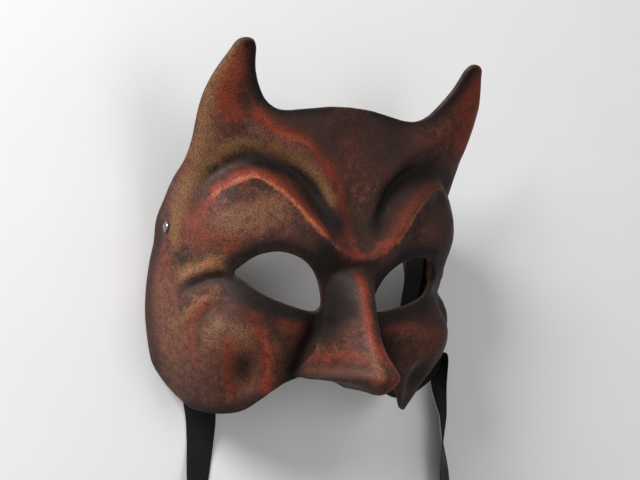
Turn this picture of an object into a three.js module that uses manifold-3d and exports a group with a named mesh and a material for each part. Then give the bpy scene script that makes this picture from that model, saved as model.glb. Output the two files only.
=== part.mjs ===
// A devil half mask of moulded leather, with two horns, a long nose and a pair of ribbon ties.
// Millimetres. +X is the wearer's left, +Y runs up the face to the horns, +Z comes out of the face.
// The mask lies on the flat feet of its two side rims, at Z = 0, and is the same left and right.
// Heights on the face are measured from the bridge of the nose. The finished group is then moved
// down the face, so that the origin is under the middle of the mask.
import * as THREE from 'three';
import { mergeVertices } from 'three/addons/utils/BufferGeometryUtils.js';
import Module from 'manifold-3d';

// Driving dimensions of the shell
const WALL = 3;                 // leather thickness
const UNROLL_RADIUS = 80;       // the face is drawn flat, as a sheet wrapped round this radius
const FOOT = Math.PI / 2 * UNROLL_RADIUS;   // how far round the sheet the flat foot lies
const FOOT_TOP = 8;             // the foot runs from this height on the face
const FOOT_BOTTOM = -60;        // down to this one
const OUTLINE_MIDDLE = 9.24;    // height halfway from the cheeks' lower edge to the horns' tips
const GRAIN = 4.8;              // spacing of the shell's facets
const GRAIN_EDGE = 4.2;         // spacing along its edges and creases
const GRAIN_NOSE = 3.2;         // spacing round the tip of the nose
const NOSE_TIP_PLACE = -67;     // where the tip is on the sheet's middle line
const NOSE_TIP_REACH = 19;      // and how far round it the facets are finer

// Driving dimensions of the fittings
const GAP = 0.3;                // clearance between pieces that touch
const RIVET_PLACE = [110.9, 8.9];
const RIVET_HEAD_RADIUS = 3;
const RIVET_HEAD_HEIGHT = 1.7;
const SHANK_RADIUS = 1.1;
const RIVET_HOLE_RADIUS = 1.5;
const FLANGE_RADIUS = 3;
const FLANGE_THICKNESS = 0.8;
const FLANGE_DEPTH = 5.9;       // from the outside of the shell to the flange's near face
const RIBBON_WIDTH = 16;
const RIBBON_THICKNESS = 0.8;
const ROLL_OUTER_RADIUS = 31.5;
const ROLL_INNER_RADIUS = 21.5;
const ROLL_RIGHT_PLACE = [-24, -172];
const ROLL_LEFT_PLACE = [89, -180];

// The ribbons' routes from the rivets to the rolls: a point on the middle of the ribbon, and how
// steeply its width stands on the floor, in degrees. At 0 it lies flat, and up to 90 its right edge
// rises, as seen by someone who walks along it from the rivet.
const RIBBON_RIGHT_ROUTE = [
  [-78.9, 15.3, 16.1, 87], [-78.8, 8.8, 16.1, 87], [-78.6, 1, 15, 88], [-78.7, -9, 13, 89],
  [-78.5, -20, 11, 90], [-77.4, -32, 9.4, 90], [-74, -44, 8.4, 90], [-68.8, -56, 8.2, 94],
  [-62.3, -67, 7.9, 106], [-56, -78, 6.7, 128], [-51.3, -89.5, 4, 155], [-49.3, -101, 1.5, 174],
  [-49.5, -113, 1.3, 185], [-50.6, -124.5, 2.6, 195], [-52.2, -136, 5.3, 218], [-54.2, -148, 7.7, 248],
  [-55.8, -160, 8.2, 266], [-56.2, -170.5, 8.2, 270],
];
const RIBBON_LEFT_ROUTE = [
  [78.9, 15.3, 16.1, 93], [78.8, 8.8, 16.1, 93], [78.5, 1, 15.5, 92], [78.3, -9, 14.6, 91],
  [78, -20, 13.2, 88], [76.6, -31, 10.8, 80], [72.8, -41, 8, 60], [68.6, -49, 4.8, 34],
  [68, -57, 2.1, 13], [69.4, -65.8, 0.8, 2], [75.6, -72, 0.4, 0], [84, -74.4, 0.4, 0],
  [90.6, -71.6, 0.9, 3], [94.9, -66.4, 3.7, 24], [97.4, -60.6, 7.1, 58], [99.9, -55.6, 8.2, 86],
  [103, -55, 8.3, 92], [104.4, -59.6, 8.3, 92], [104.3, -66, 8.3, 91], [105, -75, 8.2, 85],
  [107.2, -85, 8, 75.5], [109.6, -94, 7.5, 64], [110.4, -104.5, 7, 55], [111.9, -113, 6.2, 45],
  [115.3, -130, 4.8, 32], [117.3, -142, 6, 46], [118.8, -152, 7.7, 70], [120, -163, 8.2, 88],
  [121.2, -178.5, 8.2, 90],
];
const ROUTE_STEPS = 64;         // facets along each ribbon

// Cross-sections of the face: height on the face, half width, depth at the middle, squareness
const SECTIONS = [
  [-92, 66, 55, 2.3],
  [-75, 75, 56, 2.7],
  [-60, 81, 57, 3.0],
  [-45, 84.5, 59, 3.0],
  [-30, 86, 61, 3.0],
  [-12, 85, 65, 3.0],
  [2, 82.5, 68, 3.0],
  [19, 83, 64, 3.1],
  [40, 87.5, 59.5, 3.3],
  [60, 93, 57.5, 3.8],
  [75, 96.5, 56, 4.0],
  [105, 99, 57, 4.0],
];

// Ridges and creases on the wearer's left half, each drawn from its inner end:
// [distance round the face, height on the face], then height at both ends,
// width above and below the line, and the share of its length over which each end fades
const LINES = {
  browRidge: {
    line: [[-12, -1.5], [0, -3.5], [9, -2], [17.5, 2.5], [26.4, 10.7], [33.2, 16.3], [40.7, 23.1],
      [47.7, 29], [54.5, 34.5], [61.5, 38], [66.6, 36.6], [71.9, 33], [77.7, 28.8], [84, 24]],
    height: [6.5, 3.2], width: [3.4, 7], fade: [0, 0.3],
  },
  browGroove: {
    line: [[13, 7.5], [21.3, 18.6], [28.3, 25.5], [37.5, 34.3], [46, 40.5], [55.2, 44.5], [63.7, 47],
      [70.2, 45.2], [76.7, 42.5], [84.2, 36.3], [90.1, 26.3], [93.5, 18.6], [97.6, 9.6], [102.4, -3.6],
      [105.5, -13.3]],
    height: [-6, -3.2], width: [5.5, 5.5], fade: [0.22, 0.6],
  },
  foreheadRidge: {
    line: [[6, 13], [8, 21], [12, 29.2], [18.6, 36], [28.6, 41.3], [37.3, 47.2], [49, 54], [59, 60],
      [66, 64.4], [69, 76]],
    height: [2.8, 2.5], width: [7, 5.5], fade: [0.5, 0.25],
  },
  templeRidge: {
    line: [[66.5, 98], [71.7, 87.3], [78.7, 72.4], [82.5, 62], [90.3, 46.7], [94.2, 37.8],
      [101.9, 18.3], [104.5, 10], [110, -3], [111, -14], [112, -28]],
    height: [3, 2], width: [6, 7], fade: [0.15, 0.35],
  },
  upperCrowRidge: {
    line: [[75, -10], [83.5, -12], [90.1, -15.8], [98, -22]],
    height: [1.3, 1.3], width: [4, 3], fade: [0.3, 0.3],
  },
  upperCrowCrease: {
    line: [[75, -15.5], [84, -15.6], [89.1, -18], [96, -22.5]],
    height: [-1.8, -1.8], width: [2.6, 2.6], fade: [0.2, 0.3],
  },
  lowerCrowRidge: {
    line: [[75, -18.5], [80.4, -22.5], [85.9, -27.7], [88.8, -33], [91, -42], [92.5, -58]],
    height: [1.7, 1.7], width: [3.2, 4], fade: [0.25, 0.6],
  },
  lowerCrowCrease: {
    line: [[72, -25], [79.5, -31], [83.5, -40], [84.5, -51]],
    height: [-1.6, -1.6], width: [3.5, 3.5], fade: [0.2, 0.6],
  },
  cheekCrease: {
    line: [[18, -33], [27, -45], [34, -56], [37.5, -64], [37, -74]],
    height: [-4, -7], width: [7, 7], fade: [0.3, 0],
  },
  nostrilWing: {
    line: [[6, -57], [14, -57.5], [22, -60], [29, -63.5], [34, -68]],
    height: [5, 4], width: [5, 9], fade: [0.35, 0.2],
  },
  wingCrease: {
    line: [[12.5, -42], [19.4, -50.7], [26.9, -57.4], [33.5, -63]],
    height: [-1.5, -3], width: [3.5, 3.5], fade: [0.35, 0.1],
  },
};

// Rounded swellings and hollows: place, half sizes, height, turn in degrees
const MOUNDS = {
  browPad: { at: [74, 15], size: [24, 17], height: 6.6, turn: 0 },
  cheek: { at: [70, -46], size: [25, 20], height: 9.5, turn: 0 },
  cheekDimple: { at: [66.5, -65], size: [7.5, 11.5], height: -6, turn: 25 },
  foreheadHollow: { at: [0, 17], size: [14, 12], height: -3, turn: 0 },
  foreheadSide: { at: [48, 74], size: [14, 14], height: -3, turn: 0 },
  eyeCorner: { at: [80, -19], size: [14, 10], height: -3.5, turn: 0 },
};

// The horns lean forward more and more above this height, along a line that runs up and inwards
const HORN_START = 50;
const HORN_RISE = 50;
const HORN_LEAN = 19;
const HORN_CURL = 1.5;
const HORN_PLACE = 91;
const HORN_PLACE_SHIFT = -22;
const HORN_SPREAD = 20;

// The nose's middle line: place on the sheet, height on the face, depth
const NOSE_PROFILE = [
  [-90, -70, 62], [-82, -70, 72], [-77, -70.5, 82], [-72.5, -71, 90.5], [-69.5, -69.5, 95.5],
  [-66, -66, 99], [-61.5, -61.5, 100.5], [-57, -57, 98.2], [-52, -52, 93.6], [-46, -46, 89.2],
  [-38, -38, 85.2], [-28, -28, 81.2], [-18, -18, 77.8], [-12, -12, 74.5], [-6, -6, 71],
];
// Its half width on the sheet, and the share of that which its blunt ridge takes
const NOSE_WIDTH = [[-92, 33], [-70, 33], [-62, 31], [-55, 26], [-47, 21.5], [-38, 19], [-27, 20.5],
  [-16, 20], [-6, 14]];
const NOSE_BLUNT = [[-92, 0.45], [-66, 0.45], [-56, 0.42], [-47, 0.43], [-38, 0.44], [-28, 0.36],
  [-18, 0.28], [-6, 0.35]];
const NOSE_SQUARE = 3;          // how square the shoulders of the ridge are
const NOSE_HOLLOW = 1.2;        // how hollow its flanks are
const NOSE_TOP = -2;            // the nose grows out of the brow over this height
const NOSE_ROOT = 12;
const NOSTRIL_FOLD = -61.5;     // below this the nose's underside runs back level
const NOSTRIL_RADIUS = 4;
const NOSE_TIP_SPREAD = 11;
const NOSE_FLANK_END = 0.3;
const NOSE_WING_END = 1.25;     // the level underside ends this far out, as a share of the width
const NOSE_INSIDE_BLUNTER = 0.12;

// The eye socket sinks towards the eye hole
const SOCKET_DEPTH = 1.8;
const SOCKET_SPREAD = 8;

const EYE = [[72.3, -13.3], [67.1, -8.3], [61.2, -4.1], [55.7, -2.1], [50.4, -1.3], [43.5, -2.1],
  [36, -5], [29.5, -9.8], [25, -15.5], [22.2, -22.3], [21.5, -28], [23.5, -30.8], [27.5, -31.1],
  [39.5, -28.7], [51.6, -25], [60.3, -21], [66.6, -17]];

// The rim on the wearer's left, from the middle of the forehead round the horn to under the nose
const RIM = [[0, 75.3], [18, 74.7], [28.3, 73.6], [41.3, 72.2], [49, 71.2], [54.5, 71.3], [58.3, 73],
  [61, 76], [62.9, 81.6], [63.6, 88.8], [63.1, 95], [62.6, 99.5], [63.4, 102.3], [66, 102.6],
  [69, 101], [72, 96.3], [77.8, 86.8], [82.6, 77.2], [85.4, 70], [87.8, 62.7], [91.3, 52.7],
  [96.6, 42.7], [105.7, 33.9], [115.1, 23.7], [122.6, 15.6], [FOOT, FOOT_TOP], [FOOT, -26],
  [FOOT, FOOT_BOTTOM], [123.4, -65.4], [119.7, -69.9], [115.1, -74.5], [108.9, -79.2], [102, -83.6],
  [91.5, -85.4], [80, -85.3], [68.5, -83], [57.9, -77], [49.4, -71.6], [41, -68], [34, -69],
  [30, -75], [24, -83], [13, -88.5], [0, -90]];

const clamp = THREE.MathUtils.clamp;

function ease(x) {
  const t = clamp(x, 0, 1);
  return t * t * (3 - 2 * t);
}

function bell(x) {
  return Math.exp(-x * x);
}

// A smooth curve through the rows of a table, from its first column to another
function follow(rows, x, column = 1) {
  const last = rows.length - 1;
  const place = clamp(x, rows[0][0], rows[last][0]);
  let i = 0;
  while (i < last - 1 && place >= rows[i + 1][0]) i += 1;
  const slope = (j) => {
    const before = rows[Math.max(j - 1, 0)];
    const after = rows[Math.min(j + 1, last)];
    return (after[column] - before[column]) / (after[0] - before[0]);
  };
  const step = rows[i + 1][0] - rows[i][0];
  const t = (place - rows[i][0]) / step;
  const t2 = t * t;
  const t3 = t2 * t;
  return (2 * t3 - 3 * t2 + 1) * rows[i][column] + (t3 - 2 * t2 + t) * step * slope(i)
    + (3 * t2 - 2 * t3) * rows[i + 1][column] + (t3 - t2) * step * slope(i + 1);
}

// A smooth line through flat points, as points a small step apart
function smoothLine(points, closed, parts) {
  const corners = points.map(([x, y]) => new THREE.Vector3(x, y, 0));
  const curve = new THREE.CatmullRomCurve3(corners, closed, 'centripetal');
  const steps = parts * (closed ? points.length : points.length - 1);
  const out = [];
  for (let i = 0; i < steps + (closed ? 0 : 1); i += 1) {
    const p = curve.getPoint(i / steps);
    out.push([p.x, p.y]);
  }
  return out;
}

// How far a place on the sheet is from a line, positive on the line's left, and how far along it.
// The second is averaged a little, so that it doesn't jump where the line bends round a place.
const SHARE_BLUR = 2;
function alongLine(x, y, line) {
  const steps = [];
  let nearest = Infinity;
  let side = 0;
  let travelled = 0;
  for (let i = 0; i + 1 < line.length; i += 1) {
    const [ax, ay] = line[i];
    const dx = line[i + 1][0] - ax;
    const dy = line[i + 1][1] - ay;
    const length = Math.hypot(dx, dy);
    const t = clamp(((x - ax) * dx + (y - ay) * dy) / (length * length), 0, 1);
    const offX = x - ax - t * dx;
    const offY = y - ay - t * dy;
    const away = Math.hypot(offX, offY);
    steps.push({ away, reached: travelled + t * length });
    if (away < nearest) {
      nearest = away;
      side = Math.sign(dx * offY - dy * offX) * away;
    }
    travelled += length;
  }
  let sum = 0;
  let weights = 0;
  for (const step of steps) {
    const weight = Math.exp((nearest - step.away) / SHARE_BLUR);
    sum += weight * step.reached;
    weights += weight;
  }
  return { side, share: sum / weights / travelled };
}

function insideLoop(x, y, loop) {
  let inside = false;
  for (let i = 0; i < loop.length; i += 1) {
    const [ax, ay] = loop[i];
    const [bx, by] = loop[(i + 1) % loop.length];
    if ((ay > y) !== (by > y) && x < ((bx - ax) * (y - ay)) / (by - ay) + ax) inside = !inside;
  }
  return inside;
}

const LINE_PARTS = 5;
const carvedLines = Object.values(LINES).map((row) => {
  return { ...row, path: smoothLine(row.line, false, LINE_PARTS) };
});
const eyeLoop = smoothLine(EYE, true, LINE_PARTS);
const eyePath = [...eyeLoop, eyeLoop[0]];

// Inside the shell the ridges are shallower and the creases wider, as leather pressed over a form
const INSIDE_RIDGE_SHARE = 0.6;
const INSIDE_CREASE_WIDER = 1.5;

function carving(around, up, inside) {
  let height = 0;
  for (const row of carvedLines) {
    const { side, share } = alongLine(around, up, row.path);
    const crease = row.height[0] < 0;
    let width = side > 0 ? row.width[0] : row.width[1];
    let tall = THREE.MathUtils.lerp(row.height[0], row.height[1], share);
    if (inside && crease) width += INSIDE_CREASE_WIDER;
    if (inside && !crease) tall *= INSIDE_RIDGE_SHARE;
    if (row.fade[0] > 0) tall *= ease(share / row.fade[0]);
    if (row.fade[1] > 0) tall *= ease((1 - share) / row.fade[1]);
    height += tall * bell(side / width);
  }
  for (const mound of Object.values(MOUNDS)) {
    const turn = THREE.MathUtils.degToRad(mound.turn);
    const dx = around - mound.at[0];
    const dy = up - mound.at[1];
    const a = (dx * Math.cos(turn) + dy * Math.sin(turn)) / mound.size[0];
    const b = (dy * Math.cos(turn) - dx * Math.sin(turn)) / mound.size[1];
    height += mound.height * Math.exp(-(a * a + b * b));
  }
  const rise = Math.max((up - HORN_START) / HORN_RISE, 0);
  const hornMiddle = HORN_PLACE + HORN_PLACE_SHIFT * rise;
  height += HORN_LEAN * rise ** HORN_CURL * bell((around - hornMiddle) / HORN_SPREAD);
  const { side: besideEye } = alongLine(around, up, eyePath);
  const fromEye = insideLoop(around, up, eyeLoop) ? 0 : Math.abs(besideEye);
  return height - SOCKET_DEPTH * bell(fromEye / SOCKET_SPREAD);
}

// The plain curve of the face at one height: how far it is from the axis at one angle
function sectionRadius(angle, up) {
  const power = follow(SECTIONS, up, 3);
  const wide = Math.abs(Math.sin(angle)) / follow(SECTIONS, up, 1);
  const deep = Math.abs(Math.cos(angle)) / follow(SECTIONS, up, 2);
  return (wide ** power + deep ** power) ** (-1 / power);
}

// A place on the flat sheet, on the wearer's left half, as a place on the outside of the face
function facePoint(around, up, inside = false) {
  const angle = around / UNROLL_RADIUS;
  const radius = sectionRadius(angle, up) + carving(around, up, inside);
  let depth = radius * Math.cos(angle);
  const wide = follow(NOSE_WIDTH, up);
  const blunt = follow(NOSE_BLUNT, up) + (inside ? NOSE_INSIDE_BLUNTER : 0);
  const t = clamp(Math.abs(around) / wide, 0, 1);
  const fromRidge = (share) => (share ** NOSE_SQUARE + blunt ** NOSE_SQUARE) ** (1 / NOSE_SQUARE);
  const straight = (fromRidge(1) - fromRidge(t)) / (fromRidge(1) - blunt);
  const flank = straight ** NOSE_HOLLOW * Math.sqrt(ease((1 - t) / NOSE_FLANK_END));
  const root = ease((NOSE_TOP - up) / NOSE_ROOT);
  if (flank * root > 0) {
    const middle = sectionRadius(0, up) + carving(0, up, inside);
    depth += flank * root * (follow(NOSE_PROFILE, up, 2) - middle);
  }
  let height = up;
  if (up < NOSTRIL_FOLD + NOSTRIL_RADIUS) {
    const below = NOSTRIL_FOLD - up;
    const sunk = NOSTRIL_RADIUS * (1 - Math.exp(-below / NOSTRIL_RADIUS));
    const level = below > 0 ? NOSTRIL_FOLD - sunk : up;
    const wing = ease((NOSE_WING_END - around / wide) / NOSE_FLANK_END);
    const tip = bell(around / NOSE_TIP_SPREAD);
    height += (level - up) * wing * (1 - tip) + (follow(NOSE_PROFILE, up, 1) - up) * tip;
  }
  return new THREE.Vector3(radius * Math.sin(angle), height, depth);
}

// The direction out of the face, taken over a small span so that the inside stays smooth
const NORMAL_SPAN = 3;
function faceNormal(around, up, inside) {
  const across = facePoint(around + NORMAL_SPAN, up, inside);
  const before = around - NORMAL_SPAN;
  const left = facePoint(Math.abs(before), up, inside);
  if (before < 0) left.x *= -1;
  across.sub(left);
  const along = facePoint(around, up + NORMAL_SPAN, inside);
  along.sub(facePoint(around, up - NORMAL_SPAN, inside));
  return across.cross(along).normalize();
}

// The inside lies one wall's thickness in. Where the nose turns under, it is drawn towards
// the nose's own middle line instead, so that the inner skin doesn't fold over itself.
const HEART_HEIGHT = -52;
const HEART_BACK = 12;
const HEART_SIDEWAYS = 2.2;
const HEART_SIDE_MOST = 10;
const HEART_FROM = 12;
const HEART_SHARE = 0.9;
const HEART_REACH = 13;
const HEART_WALL = 1.25;        // the wall is measured aslant there, so it gets this much more
function innerPoint(around, up) {
  const place = facePoint(around, up, true);
  const inwards = faceNormal(around, up, true).negate();
  const sideways = -HEART_SIDEWAYS * Math.min(place.x, HEART_SIDE_MOST);
  const toHeart = new THREE.Vector3(sideways, HEART_HEIGHT - place.y, -HEART_BACK).normalize();
  const below = ease((NOSTRIL_FOLD + HEART_REACH - up) / HEART_REACH);
  const beside = ease((NOSE_WIDTH[0][1] + HEART_REACH - around) / HEART_REACH);
  const share = HEART_SHARE * below * beside * ease(around / HEART_FROM);
  const direction = inwards.lerp(toHeart, share).normalize();
  return place.addScaledVector(direction, WALL * (1 + (HEART_WALL - 1) * share));
}

// Points along a line on the sheet, about one spacing apart, with both ends kept
function spaced(line, spacing) {
  const lengths = [0];
  for (let i = 1; i < line.length; i += 1) {
    const step = Math.hypot(line[i][0] - line[i - 1][0], line[i][1] - line[i - 1][1]);
    lengths.push(lengths[i - 1] + step);
  }
  const total = lengths[lengths.length - 1];
  const count = Math.max(1, Math.round(total / spacing));
  const out = [];
  let i = 1;
  for (let k = 0; k <= count; k += 1) {
    const target = total * k / count;
    while (i < lengths.length - 1 && lengths[i] < target) i += 1;
    const t = clamp((target - lengths[i - 1]) / (lengths[i] - lengths[i - 1]), 0, 1);
    out.push([
      THREE.MathUtils.lerp(line[i - 1][0], line[i][0], t),
      THREE.MathUtils.lerp(line[i - 1][1], line[i][1], t),
    ]);
  }
  return out;
}

// Delaunay triangles of flat points, by adding one point at a time. Three corners of a triangle
// that holds them all come first, and leave with their own triangles at the end.
const FAR = 4000;
function triangulate(points) {
  const all = [...points, [-FAR, -FAR], [FAR, -FAR], [0, 2 * FAR]];
  const n = points.length;
  const circle = (a, b, c) => {
    const [ax, ay] = all[a];
    const bx = all[b][0] - ax;
    const by = all[b][1] - ay;
    const cx = all[c][0] - ax;
    const cy = all[c][1] - ay;
    const d = 2 * (bx * cy - by * cx);
    const ux = (cy * (bx * bx + by * by) - by * (cx * cx + cy * cy)) / d;
    const uy = (bx * (cx * cx + cy * cy) - cx * (bx * bx + by * by)) / d;
    return { corners: [a, b, c], x: ax + ux, y: ay + uy, r2: ux * ux + uy * uy };
  };
  let triangles = [circle(n, n + 1, n + 2)];
  for (let i = 0; i < n; i += 1) {
    const [x, y] = all[i];
    const edges = new Map();
    const kept = [];
    for (const tri of triangles) {
      if ((x - tri.x) ** 2 + (y - tri.y) ** 2 >= tri.r2) {
        kept.push(tri);
        continue;
      }
      const [a, b, c] = tri.corners;
      for (const [p, q] of [[a, b], [b, c], [c, a]]) {
        const back = `${q},${p}`;
        if (edges.has(back)) edges.delete(back);
        else edges.set(`${p},${q}`, [p, q]);
      }
    }
    for (const [p, q] of edges.values()) kept.push(circle(p, q, i));
    triangles = kept;
  }
  return triangles.map((tri) => tri.corners).filter((corners) => corners.every((c) => c < n));
}

// The half outline: down the rim, then back up the middle
function halfOutline() {
  const drawn = spaced(smoothLine(RIM, false, LINE_PARTS), GRAIN_EDGE);
  const rim = drawn.map(([x, y]) => [Math.min(x, FOOT), y]);
  const middle = spaced([rim[rim.length - 1], rim[0]], GRAIN_EDGE).slice(1, -1);
  return [...rim, ...middle];
}

const RIVET_HOLE_SIDES = 10;
function rivetHole() {
  const out = [];
  for (let i = 0; i < RIVET_HOLE_SIDES; i += 1) {
    const turn = 2 * Math.PI * i / RIVET_HOLE_SIDES;
    const across = RIVET_HOLE_RADIUS * Math.cos(turn);
    const up = RIVET_HOLE_RADIUS * Math.sin(turn);
    out.push([RIVET_PLACE[0] + across, RIVET_PLACE[1] + up]);
  }
  return out;
}

// The facets' corners on the wearer's left half of the sheet: edges first, then the tip of the nose,
// then the carved lines, then an even spread over what is left
const CROWDING = 0.7;           // no two corners are nearer than this share of the spacing
function sheetPoints(outline, holes) {
  const points = [...outline, ...holes.flat()];
  const open = (x, y) => insideLoop(x, y, outline) && holes.every((hole) => !insideLoop(x, y, hole));
  const add = (x, y, spacing) => {
    const room = CROWDING * spacing;
    if (!open(x, y)) return;
    if (points.every(([px, py]) => Math.hypot(px - x, py - y) >= room)) points.push([x, y]);
  };
  const spread = (spacing, chosen) => {
    const step = spacing * Math.sqrt(3) / 2;
    const lowest = Math.min(...outline.map(([, y]) => y));
    const highest = Math.max(...outline.map(([, y]) => y));
    for (let j = 0; lowest + j * step < highest; j += 1) {
      for (let i = 0; i * spacing < FOOT; i += 1) {
        const x = (i + (j % 2) / 2) * spacing;
        const y = lowest + j * step;
        if (chosen(x, y)) add(x, y, spacing);
      }
    }
  };
  spread(GRAIN_NOSE, (x, y) => Math.hypot(x, y - NOSE_TIP_PLACE) < NOSE_TIP_REACH);
  for (const row of carvedLines) {
    for (const [x, y] of spaced(row.path, GRAIN_EDGE)) add(x, y, GRAIN_EDGE);
  }
  spread(GRAIN, () => true);
  return points;
}

// The whole shell: an outer and an inner skin over the same facets, joined all round the edges
function shellGeometry() {
  const outline = halfOutline();
  const holes = [spaced(eyePath, GRAIN_EDGE).slice(1), rivetHole()];
  const points = sheetPoints(outline, holes);
  const middleOf = (corners, k) => corners.reduce((sum, corner) => sum + points[corner][k], 0) / 3;
  const kept = triangulate(points).filter((corners) => {
    const x = middleOf(corners, 0);
    const y = middleOf(corners, 1);
    return insideLoop(x, y, outline) && holes.every((hole) => !insideLoop(x, y, hole));
  });

  const outer = [];
  const inner = [];
  const twin = [];
  for (const [x, y] of points) {
    const outside = facePoint(x, y);
    const inside = innerPoint(x, y);
    const onFoot = x === FOOT && y <= FOOT_TOP && y >= FOOT_BOTTOM;
    for (const p of [outside, inside]) p.z = onFoot ? 0 : Math.max(p.z, 0);
    outer.push(outside);
    inner.push(inside);
  }
  for (let i = 0; i < points.length; i += 1) {
    twin.push(points[i][0] === 0 ? i : outer.length);
    if (points[i][0] === 0) continue;
    outer.push(new THREE.Vector3(-outer[i].x, outer[i].y, outer[i].z));
    inner.push(new THREE.Vector3(-inner[i].x, inner[i].y, inner[i].z));
  }
  const skin = [...kept, ...kept.map(([a, b, c]) => [twin[a], twin[c], twin[b]])];

  const offset = outer.length;
  const edges = new Set();
  for (const [a, b, c] of skin) {
    edges.add(`${a},${b}`);
    edges.add(`${b},${c}`);
    edges.add(`${c},${a}`);
  }
  const faces = skin.flatMap(([a, b, c]) => [a, b, c, offset + a, offset + c, offset + b]);
  for (const edge of edges) {
    const [p, q] = edge.split(',').map(Number);
    if (!edges.has(`${q},${p}`)) faces.push(q, p, offset + p, q, offset + p, offset + q);
  }
  return solidGeometry([...outer, ...inner], faces);
}

function solidGeometry(corners, faces) {
  const geometry = new THREE.BufferGeometry();
  const numbers = corners.flatMap((corner) => corner.toArray());
  geometry.setAttribute('position', new THREE.Float32BufferAttribute(numbers, 3));
  geometry.setIndex(faces);
  geometry.computeVertexNormals();
  return geometry;
}

// A solid of revolution about +Y, from a profile that starts and ends on the axis
function turned(profile, sides) {
  const points = profile.map(([radius, height]) => new THREE.Vector2(radius, height));
  return new THREE.LatheGeometry(points, sides);
}

// The rivet runs along the shell's own direction: a domed head outside, a shank, a flat flange inside
const rivetSeat = facePoint(...RIVET_PLACE);
const rivetAxis = faceNormal(...RIVET_PLACE);
const DOME_STEPS = 5;
const RIVET_SIDES = 16;
const SEAT_CHECKS = 12;

// How far the face rises above the rivet's seat under its head
function headRest() {
  let most = 0;
  for (let i = 0; i < SEAT_CHECKS; i += 1) {
    const turn = 2 * Math.PI * i / SEAT_CHECKS;
    const around = RIVET_PLACE[0] + RIVET_HEAD_RADIUS * Math.cos(turn);
    const up = RIVET_PLACE[1] + RIVET_HEAD_RADIUS * Math.sin(turn);
    most = Math.max(most, facePoint(around, up).sub(rivetSeat).dot(rivetAxis));
  }
  return most + GAP;
}

function rivetGeometry() {
  const base = headRest();
  const end = -FLANGE_DEPTH - FLANGE_THICKNESS;
  const profile = [[0, end], [FLANGE_RADIUS, end], [FLANGE_RADIUS, -FLANGE_DEPTH],
    [SHANK_RADIUS, -FLANGE_DEPTH], [SHANK_RADIUS, base]];
  for (let i = 0; i <= DOME_STEPS; i += 1) {
    const turn = Math.PI / 2 * i / DOME_STEPS;
    profile.push([RIVET_HEAD_RADIUS * Math.cos(turn), base + RIVET_HEAD_HEIGHT * Math.sin(turn)]);
  }
  profile[profile.length - 1][0] = 0;
  return turned(profile, RIVET_SIDES);
}

const Y_AXIS = new THREE.Vector3(0, 1, 0);
function placedRivet(name, side) {
  const rivet = new THREE.Mesh(rivetGeometry(), steel);
  const axis = rivetAxis.clone();
  axis.x *= side;
  rivet.name = name;
  rivet.position.set(rivetSeat.x * side, rivetSeat.y, rivetSeat.z);
  rivet.quaternion.setFromUnitVectors(Y_AXIS, axis);
  return rivet;
}

// A flat ribbon along a route, its width raised from the floor by the route's angles
const Z_AXIS = new THREE.Vector3(0, 0, 1);
const RIBBON_CORNERS = [[-0.5, -0.5], [0.5, -0.5], [0.5, 0.5], [-0.5, 0.5]];
function ribbonGeometry(route) {
  const places = route.map(([x, y, z]) => new THREE.Vector3(x, y, z));
  const middle = new THREE.CatmullRomCurve3(places, false, 'centripetal');
  const corners = [];
  for (let i = 0; i <= ROUTE_STEPS; i += 1) {
    const share = i / ROUTE_STEPS;
    const along = share * (route.length - 1);
    const before = Math.min(Math.floor(along), route.length - 2);
    const degrees = THREE.MathUtils.lerp(route[before][3], route[before + 1][3], along - before);
    const angle = THREE.MathUtils.degToRad(degrees);
    const tangent = middle.getTangent(share);
    const level = new THREE.Vector3().crossVectors(tangent, Z_AXIS).normalize();
    const raised = new THREE.Vector3().crossVectors(level, tangent);
    const width = level.multiplyScalar(Math.cos(angle)).addScaledVector(raised, Math.sin(angle));
    const through = new THREE.Vector3().crossVectors(tangent, width);
    for (const [across, deep] of RIBBON_CORNERS) {
      const corner = middle.getPoint(share);
      corner.addScaledVector(width, across * RIBBON_WIDTH);
      corner.addScaledVector(through, deep * RIBBON_THICKNESS);
      corner.z = Math.max(corner.z, 0);
      corners.push(corner);
    }
  }
  const ring = RIBBON_CORNERS.length;
  const faces = [0, 2, 1, 0, 3, 2];
  for (let i = 0; i < ROUTE_STEPS; i += 1) {
    for (let k = 0; k < ring; k += 1) {
      const a = ring * i + k;
      const b = ring * i + (k + 1) % ring;
      // The two broad sides are split the same way, so that they stay parallel where it twists
      if (k === 2) faces.push(a, b, a + ring, b, b + ring, a + ring);
      else faces.push(a, b, b + ring, a, b + ring, a + ring);
    }
  }
  const end = ring * ROUTE_STEPS;
  faces.push(end, end + 1, end + 2, end, end + 2, end + 3);
  return solidGeometry(corners, faces);
}

const wasm = await Module();
wasm.setup();

function toManifold(geometry) {
  const bare = geometry.clone();
  bare.deleteAttribute('normal');
  bare.deleteAttribute('uv');
  const merged = mergeVertices(bare);
  return new wasm.Manifold(new wasm.Mesh({
    numProp: 3,
    vertProperties: new Float32Array(merged.attributes.position.array),
    triVerts: new Uint32Array(merged.index.array),
  }));
}

function fromManifold(solid) {
  const mesh = solid.getMesh();
  const geometry = new THREE.BufferGeometry();
  const corners = new Float32Array(mesh.vertProperties);
  geometry.setAttribute('position', new THREE.BufferAttribute(corners, 3));
  geometry.setIndex(Array.from(mesh.triVerts));
  geometry.computeVertexNormals();
  return geometry;
}

// The ribbon with the hole that the rivet's shank goes through
function piercedRibbon(name, route, side) {
  const radius = RIVET_HOLE_RADIUS;
  const drill = new THREE.CylinderGeometry(radius, radius, 2 * FLANGE_DEPTH, RIVET_HOLE_SIDES);
  const placed = placedRivet(name, side);
  placed.updateMatrix();
  drill.translate(0, -FLANGE_DEPTH, 0).applyMatrix4(placed.matrix);
  const cut = toManifold(ribbonGeometry(route)).subtract(toManifold(drill));
  const ribbon = new THREE.Mesh(fromManifold(cut), grosgrain);
  ribbon.name = name;
  return ribbon;
}

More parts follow.
